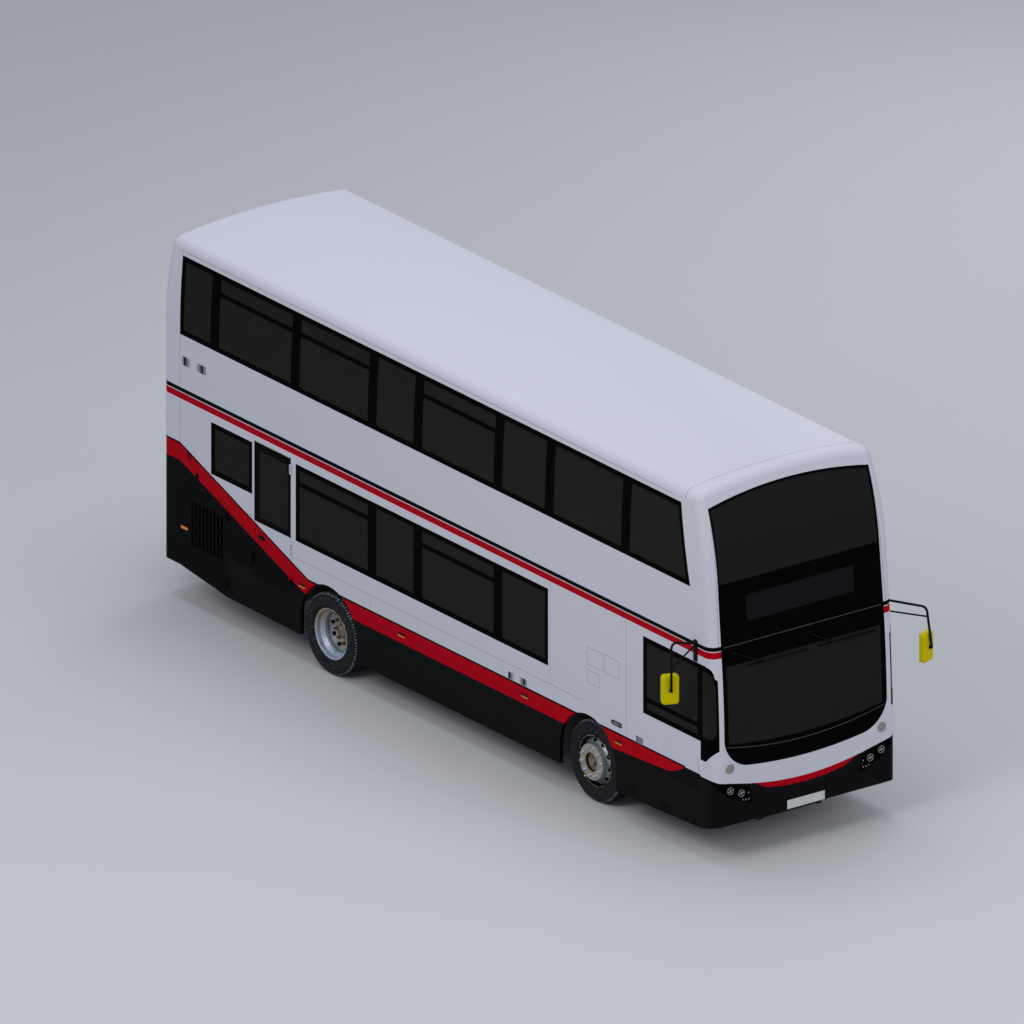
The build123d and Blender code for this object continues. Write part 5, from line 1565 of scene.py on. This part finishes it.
class BUS_OT_seats(Maker, bpy.types.Operator):
    """Trim the passengers' and the driver's seats in moquette over moulded shells"""

    bl_idname = "bus.seats"
    bl_label = "Seats"

    def make(self, context):
        for node in ("lower_seats", "upper_seats"):
            deck = node.split("_")[0]
            cloth, shell, rails = bmesh.new(), bmesh.new(), bmesh.new()
            for low, high in seat_boxes(node):
                if high.y - low.y < PAIR_WIDTH:
                    self.driver(cloth, shell, rails, low, high)
                else:
                    self.pair(cloth, shell, rails, low, high)
            pads = make_piece(cloth, f"{deck}_seat_cushions", "seat_cloth", replaces=(node,),
                              sharp=60.0)
            smooth = pads.modifiers.new("soft", "SUBSURF")
            smooth.levels = smooth.render_levels = 1
            make_piece(shell, f"{deck}_seat_shells", "seat_shell", replaces=(node,))
            make_piece(rails, f"{deck}_seat_grips", "mirror_yellow", replaces=(node,))

    def pair(self, cloth, shell, rails, low, high):
        """A two-place seat facing forward, inside its box."""
        middle = (low.y + high.y) / 2
        foot = low.z
        top = foot + 0.440
        for side in (-1, 1):
            near, far = sorted((middle + side * 0.008, middle + side * (high.y - low.y) / 2 - side * 0.006))
            pad_form(cloth, (low.x + 0.092, near, top - 0.078), (high.x - 0.006, far, top + 0.004), 0.16, 0.30)
            pad_form(cloth, (low.x + 0.022, near, top + 0.012), (low.x + 0.094, far, high.z - 0.030), 0.16, 0.30)
            pad_form(cloth, (low.x + 0.030, near + 0.06, high.z - 0.20), (low.x + 0.104, far - 0.06, high.z - 0.045),
                     0.14, 0.30, 5)
        add_block(shell, (low.x + 0.070, low.y + 0.012, top - 0.094), (high.x - 0.020, high.y - 0.012, top - 0.070),
                  0.010, 3)
        add_block(shell, (low.x + 0.004, low.y + 0.010, top - 0.090), (low.x + 0.030, high.y - 0.010, high.z - 0.012),
                  0.010, 3)
        add_block(shell, (low.x + 0.19, middle - 0.055, foot), (low.x + 0.29, middle + 0.055, top - 0.085), 0.012, 3)
        add_block(shell, (low.x + 0.15, middle - 0.060, foot), (low.x + 0.33, middle + 0.060, foot + 0.012), 0.004)
        for y in (low.y + 0.06, high.y - 0.06):
            add_rod(rails, (low.x + 0.018, y, high.z - 0.05), (low.x + 0.018, y, high.z - 0.010), 0.0095, steps=14)
        x, z = low.x + 0.018, high.z - 0.0105
        add_rod(rails, (x, low.y + 0.052, z), (x, high.y - 0.052, z), 0.0098, steps=16, bevel=0.002)

    def driver(self, cloth, shell, rails, low, high):
        """The driver's seat: cushion, tall back with bolsters and headrest, on a sprung foot."""
        top = low.z + 0.450
        front, back, left, right, head = high.x, low.x, low.y, high.y, high.z
        pad_form(cloth, (back + 0.078, left + 0.006, top - 0.085), (front - 0.004, right - 0.006, top + 0.004),
                 0.16, 0.30)
        pad_form(cloth, (back + 0.008, left + 0.010, top + 0.010), (back + 0.080, right - 0.010, head - 0.200),
                 0.16, 0.30)
        pad_form(cloth, (back + 0.012, left + 0.090, head - 0.185), (back + 0.078, right - 0.090, head - 0.008),
                 0.16, 0.28, 5)
        for y in (low.y + 0.028, high.y - 0.028):
            pad_form(cloth, (low.x + 0.040, y - 0.026, top + 0.030), (low.x + 0.108, y + 0.026, high.z - 0.28),
                     0.18, 0.30, 4)
        add_block(shell, (low.x + 0.060, low.y + 0.020, top - 0.105), (high.x - 0.030, high.y - 0.020, top - 0.080),
                  0.010, 3)
        middle = (low.y + high.y) / 2
        for index in range(5):
            z = low.z + 0.03 + index * 0.062
            add_block(shell, (low.x + 0.17, middle - 0.10, z), (low.x + 0.37, middle + 0.10, z + 0.050), 0.016, 3)
        y, z = high.y - 0.02, top - 0.12
        add_rod(rails, (high.x - 0.10, y, z), (high.x - 0.02, y, z), 0.008, steps=12)


# ---------------------------------------------------------------- cabin
CEILING_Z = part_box("upper_floor")[0].z
UPPER_FLOOR_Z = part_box("upper_floor")[1].z
AISLE_POLE_Y = 0.3175  # between the aisle and the seats' ends


def add_pole(bm, flanges, foot, head):
    """An upright grab pole with a turned flange at each end."""
    radius = sizes().pole
    foot, head = Vector(foot), Vector(head)
    up = (head - foot).normalized()
    add_rod(bm, foot, head, radius, steps=20)
    add_rod(flanges, foot - up * 0.001, foot + up * 0.018, radius * 1.9, radius * 1.2, steps=20, bevel=0.002)
    add_rod(flanges, head - up * 0.018, head + up * 0.001, radius * 1.2, radius * 1.9, steps=20, bevel=0.002)


class BUS_OT_grab_rails(Maker, bpy.types.Operator):
    """Add grab poles, ceiling rails, stair rails, nosings and bell pushes"""

    bl_idname = "bus.grab_rails"
    bl_label = "Grab rails"

    def make(self, context):
        poles, flanges, pushes = bmesh.new(), bmesh.new(), bmesh.new()
        roof = BVHTree.FromBMesh(cad_copy("roof"))
        for node, spread in (("lower_seats", 1), ("upper_seats", 3)):
            for low, high in seat_boxes(node):
                side = 1 if (low.y + high.y) > 0 else -1
                if high.y - low.y < PAIR_WIDTH or round(low.x / 0.75 + side) % spread:
                    continue
                foot = Vector((low.x + 0.045, side * AISLE_POLE_Y, low.z))
                top = CEILING_Z
                if node == "upper_seats":
                    top = roof.ray_cast(foot + Vector((0.0, 0.0, 1.2)), Vector((0.0, 0.0, 1.0)))[0].z
                add_pole(poles, flanges, foot, (foot.x, foot.y, top))
                add_slab(pushes, foot, (-0.018, -0.030, 1.16), (0.018, 0.030, 1.25), 0.006, 3)
        ahead = FRONT_AXLE.x + 0.78
        for side in (-1, 1):
            foot = Vector((ahead, side * AISLE_POLE_Y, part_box("lower_seats")[0].z))
            add_pole(poles, flanges, foot, (foot.x, foot.y, CEILING_Z))
        make_piece(poles, "grab_poles", "mirror_yellow")
        make_piece(flanges, "grab_pole_flanges", "trim_grey")
        make_piece(pushes, "bell_pushes", "red_lens")
        self.ceiling_rails(ahead)
        self.stairs()

    def ceiling_rails(self, ahead):
        """Rails under the lower ceiling, on short hangers."""
        runs, hangers = [], bmesh.new()
        back = REAR_AXLE.x + 1.02
        for side in (-1, 1):
            y, z = side * 0.40, CEILING_Z - 0.085
            runs.append([(back, y, CEILING_Z - 0.004), (back, y, z + 0.01), (back + 0.05, y, z), (back + 0.10, y, z),
                         (ahead - 0.10, y, z), (ahead - 0.05, y, z), (ahead, y, z + 0.01),
                         (ahead, y, CEILING_Z - 0.004)])
            for index in range(1, 6):
                x = back + (ahead - back) * index / 6
                add_rod(hangers, (x, y, z), (x, y, CEILING_Z), 0.009, 0.014, steps=14, bevel=0.001)
        pipe_piece("ceiling_rails", runs, 0.0150, "mirror_yellow")
        make_piece(hangers, "ceiling_rail_hangers", "trim_grey")

    def stairs(self):
        """Handrails and nosings of the stairs, and the guard round the stairwell."""
        low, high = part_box("staircase")
        steps, run = 6, (high.x - low.x) / 6
        rise = (high.z - low.z) / steps
        nosings = bmesh.new()
        for step in range(steps):
            x, z = high.x - step * run, low.z + (step + 1) * rise
            add_block(nosings, (x - 0.034, low.y + 0.012, z - 0.001), (x - 0.002, high.y - 0.012, z + 0.0035), 0.0012)
        make_piece(nosings, "stair_nosings", "mirror_yellow")
        runs = []
        for y in (high.y - 0.035, low.y + 0.055):
            foot, head = Vector((high.x + 0.05, y, low.z + rise + 0.80)), Vector((low.x + 0.12, y, high.z + 0.86))
            wall = Vector((0.0, 0.030 if y > (low.y + high.y) / 2 else -0.052, 0.0))
            runs.append([foot + wall - Vector((0.02, 0, 0)), foot + wall * 0.5, foot, foot.lerp(head, 0.08),
                         foot.lerp(head, 0.92), head, head + wall * 0.5, head + wall])
        pipe_piece("stair_handrails", runs, 0.0150, "mirror_yellow")
        guard, panels = bmesh.new(), bmesh.new()
        y, front = high.y + 0.030, high.x + run + 0.030
        floor = UPPER_FLOOR_Z
        ends = [Vector((low.x + 0.02 + (front - low.x - 0.02) * k / 3, y, floor)) for k in range(4)]
        corner = Vector((front, low.y + 0.045, floor))
        tall = Vector((0.0, 0.0, 0.92))
        for place in (*ends, corner):
            add_rod(guard, place, place + tall, 0.0150, steps=18, bevel=0.002)
        for first, last in ((ends[0], ends[-1]), (ends[-1], corner)):
            add_rod(guard, first + tall, last + tall, 0.0155, steps=18, bevel=0.002)
        for first, last in (*zip(ends, ends[1:]), (ends[-1], corner)):
            span = (last - first).normalized() * 0.022
            thick = Vector((0.0, 0.004, 0.0)) if abs(span.x) > abs(span.y) else Vector((0.004, 0.0, 0.0))
            lowest, highest = [Vector(map(pick, first + span, last - span)) for pick in (min, max)]
            add_block(panels, lowest - thick + Vector((0, 0, 0.06)), highest + thick + Vector((0, 0, 0.84)), 0.002)
        make_piece(guard, "stairwell_guard", "mirror_yellow")
        make_piece(panels, "stairwell_panels", "trim_grey")


class BUS_OT_cab(Maker, bpy.types.Operator):
    """Add the driver's instruments, switches, pedals and column stalks"""

    bl_idname = "bus.cab"
    bl_label = "Driver's cab"

    def make(self, context):
        hood, dials, switches = bmesh.new(), bmesh.new(), bmesh.new()
        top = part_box("steering_wheel")[0].z + 0.028
        back = NOSE_X - 0.41
        y = joint_place("steering_wheel_turn").y
        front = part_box("cab_interior")[1].x - 0.012
        add_block(hood, (back, y - 0.205, top - 0.01), (front, y + 0.205, top + 0.118), 0.030, 4)
        for offset, radius in ((-0.075, 0.052), (0.075, 0.052), (-0.162, 0.024), (0.162, 0.024)):
            at = Vector((back - 0.001, y + offset, top + 0.060))
            add_rod(dials, at, at + Vector((-0.002, 0.0, 0.0)), radius, steps=36)
            add_ring(dials, at + Vector((-0.002, 0.0, 0.0)), (1.0, 0.0, 0.0), radius, 0.0030, steps=36)
            for index in range(11):
                turn = radians(-130 + 26 * index)
                mark = at + Vector((-0.0025, sin(turn) * radius * 0.84, cos(turn) * radius * 0.84))
                add_block(dials, mark - Vector((0.0006, 0.0011, 0.0011)), mark + Vector((0.0006, 0.0011, 0.0011)))
            tip = at + Vector((-0.0032, -radius * 0.45, radius * 0.45))
            add_rod(dials, at + Vector((-0.0032, 0.0, 0.0)), tip, 0.0014, 0.0006, steps=8)
        for side, count in ((-1, 8), (1, 4)):
            for index in range(count):
                row, column = divmod(index, 4)
                at = Vector((back - 0.005 + 0.032 * row, y + side * 0.255 + side * 0.036 * column, top - 0.004))
                add_slab(switches, at, (-0.012, -0.013, 0.0), (0.012, 0.013, 0.018), 0.003)
        centre = joint_place("steering_wheel_turn")
        slope = Vector((-sin(radians(25)), 0.0, cos(radians(25))))
        root = centre - slope * 0.085
        for side in (-1, 1):
            add_rod(switches, root, root + Vector((-0.010, side * 0.155, 0.020)), 0.0065, 0.0050, steps=12, bevel=0.001)
        pedals = bmesh.new()
        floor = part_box("lower_seats")[0].z + 0.24
        for offset, wide in ((-0.085, 0.090), (0.060, 0.062)):
            pad = bmesh.new()
            add_block(pad, (-0.010, -wide / 2, 0.0), (0.010, wide / 2, 0.190), 0.004)
            for index in range(5):
                add_block(pad, (-0.0135, 0.006 - wide / 2, 0.022 + 0.034 * index),
                          (-0.009, wide / 2 - 0.006, 0.034 + 0.034 * index), 0.001)
            place = Matrix.Translation((back + 0.02, y + offset, floor + 0.012)) @ Matrix.Rotation(radians(38), 4, "Y")
            bmesh.ops.transform(pad, matrix=place, verts=pad.verts[:])
            merge_in(pedals, pad)
        make_piece(hood, "instrument_hood", "seat_shell")
        make_piece(dials, "instrument_dials", "plate_blank")
        make_piece(switches, "dash_switches", "black_metal")
        make_piece(pedals, "driver_pedals", "spring_rubber")


class BUS_OT_door_trim(Maker, bpy.types.Operator):
    """Add the entrance's rubber edges and the leaves' inner rails"""

    bl_idname = "bus.door_trim"
    bl_label = "Entrance trim"

    def make(self, context):
        for name, edge, way in (("rear", 1, 1), ("front", 0, -1)):
            low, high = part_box(f"entrance_glass_{name}")
            leaf = (low, high)[edge].x + way * 0.070
            face = low.y - 0.014
            seal = bmesh.new()
            x = leaf + way * 0.0005
            near, far = sorted((x, x + way * 0.0058))
            add_block(seal, (near, face + 0.006, low.z - 0.13), (far, face + 0.034, high.z + 0.06), 0.0022, 3)
            make_piece(seal, f"entrance_edge_rubber_{name}", "spring_rubber",
                       body=f"entrance_leaf_{name}")
            x = leaf - way * 0.036
            rail_y = face - 0.052
            run = [(x, face + 0.002, 0.80), (x, face - 0.02, 0.80), (x, rail_y, 0.81), (x, rail_y, 0.84),
                   (x, rail_y, 1.66), (x, rail_y, 1.69), (x, face - 0.02, 1.70), (x, face + 0.002, 1.70)]
            pipe_piece(f"entrance_leaf_rail_{name}", [run], 0.0140, "mirror_yellow", body=f"entrance_leaf_{name}")


class BUS_OT_stage(Maker, bpy.types.Operator):
    """Stand the bus on a pale floor under soft light, with its camera"""

    bl_idname = "bus.stage"
    bl_label = "Stage, light and camera"

    def make(self, context):
        scene = context.scene
        bm = bmesh.new()
        bmesh.ops.create_grid(bm, x_segments=2, y_segments=2, size=120.0)
        mesh = flushed(bm, "studio_floor")
        mesh.materials.append(self.floor_finish())
        floor = linked("studio_floor", mesh)

        world = bpy.data.worlds.new("studio_sky")
        world.use_nodes = True
        sky = world.node_tree.nodes["Background"]
        sky.inputs["Color"].default_value = (0.80, 0.86, 1.0, 1.0)
        sky.inputs["Strength"].default_value = 0.50
        scene.world = world
        scene.view_settings.view_transform = "Standard"
        self.lamp("key_softbox", (6.0, -17.0, 17.0), (0.0, 0.0, 1.8), 11.0, 1420.0, (1.0, 0.975, 0.955))
        self.lamp("top_softbox", (-2.0, 1.0, 20.0), (0.0, 0.0, 0.0), 15.0, 1180.0, (0.88, 0.94, 1.0))
        self.lamp("nose_softbox", (19.0, 3.0, 9.0), (4.0, 0.0, 2.0), 9.0, 560.0)
        self.lamp("fill_softbox", (-10.0, 18.0, 10.0), (0.0, 0.0, 2.0), 12.0, 520.0)

        lens = bpy.data.cameras.new("view_camera")
        lens.type = "ORTHO"
        lens.ortho_scale = 11.378
        lens.clip_end = 200.0
        camera = linked("view_camera", lens)
        toward = Vector((0.8, -0.6, 0.4)).normalized()
        camera.location = Vector((REAR_AXLE.x + 1.700, 0.0, 2.188)) + toward * 40.0
        camera.rotation_euler = toward.to_track_quat("Z", "Y").to_euler()
        scene.camera = camera

    def floor_finish(self):
        material, nodes, shader = start_material("studio_floor", (0.60, 0.60, 0.60), 0.8, specular=0.2)
        point = nodes.object_point()[0]
        drift = nodes.noise(point, 0.6, 3.0)
        shown = nodes.mix(drift * 0.12, (0.60, 0.60, 0.60, 1.0), (0.52, 0.525, 0.53, 1.0))
        nodes.feed(shader.inputs["Base Color"], shown)
        return material

    def lamp(self, name, place, aim, size, power, tint=(1.0, 1.0, 1.0)):
        light = bpy.data.lights.new(name, "AREA")
        light.shape = "DISK"
        light.size = size
        light.energy = power
        light.color = tint
        lamp = linked(name, light)
        lamp.location = place
        lamp.rotation_euler = (Vector(place) - Vector(aim)).to_track_quat("Z", "Y").to_euler()


# ---------------------------------------------------------------- add-on
STEPS = (
    BUS_OT_paint,
    BUS_OT_tyres,
    BUS_OT_wheels,
    BUS_OT_lamps,
    BUS_OT_mirrors,
    BUS_OT_side_fittings,
    BUS_OT_seats,
    BUS_OT_grab_rails,
    BUS_OT_cab,
    BUS_OT_door_trim,
    BUS_OT_stage,
)


class BUS_PT_panel(bpy.types.Panel):
    """Steps of the bus's dressing"""

    bl_label = "Double-decker bus"
    bl_idname = "BUS_PT_panel"
    bl_space_type = "VIEW_3D"
    bl_region_type = "UI"
    bl_category = "Bus"

    def draw(self, context):
        for group in (context.scene.bus_paint, context.scene.bus_sizes):
            box = self.layout.box()
            for key in group.__annotations__:
                box.prop(group, key)
        for step in STEPS:
            self.layout.operator(step.bl_idname)


CLASSES = (BusPaint, BusSizes, *STEPS, BUS_PT_panel)


def register():
    for cls in CLASSES:
        bpy.utils.register_class(cls)
    bpy.types.Scene.bus_paint = bpy.props.PointerProperty(type=BusPaint)
    bpy.types.Scene.bus_sizes = bpy.props.PointerProperty(type=BusSizes)


def unregister():
    del bpy.types.Scene.bus_sizes
    del bpy.types.Scene.bus_paint
    for cls in reversed(CLASSES):
        bpy.utils.unregister_class(cls)


def main():
    register()
    for step in STEPS:
        group, name = step.bl_idname.split(".")
        getattr(getattr(bpy.ops, group), name)()


if __name__ == "__main__":
    main()
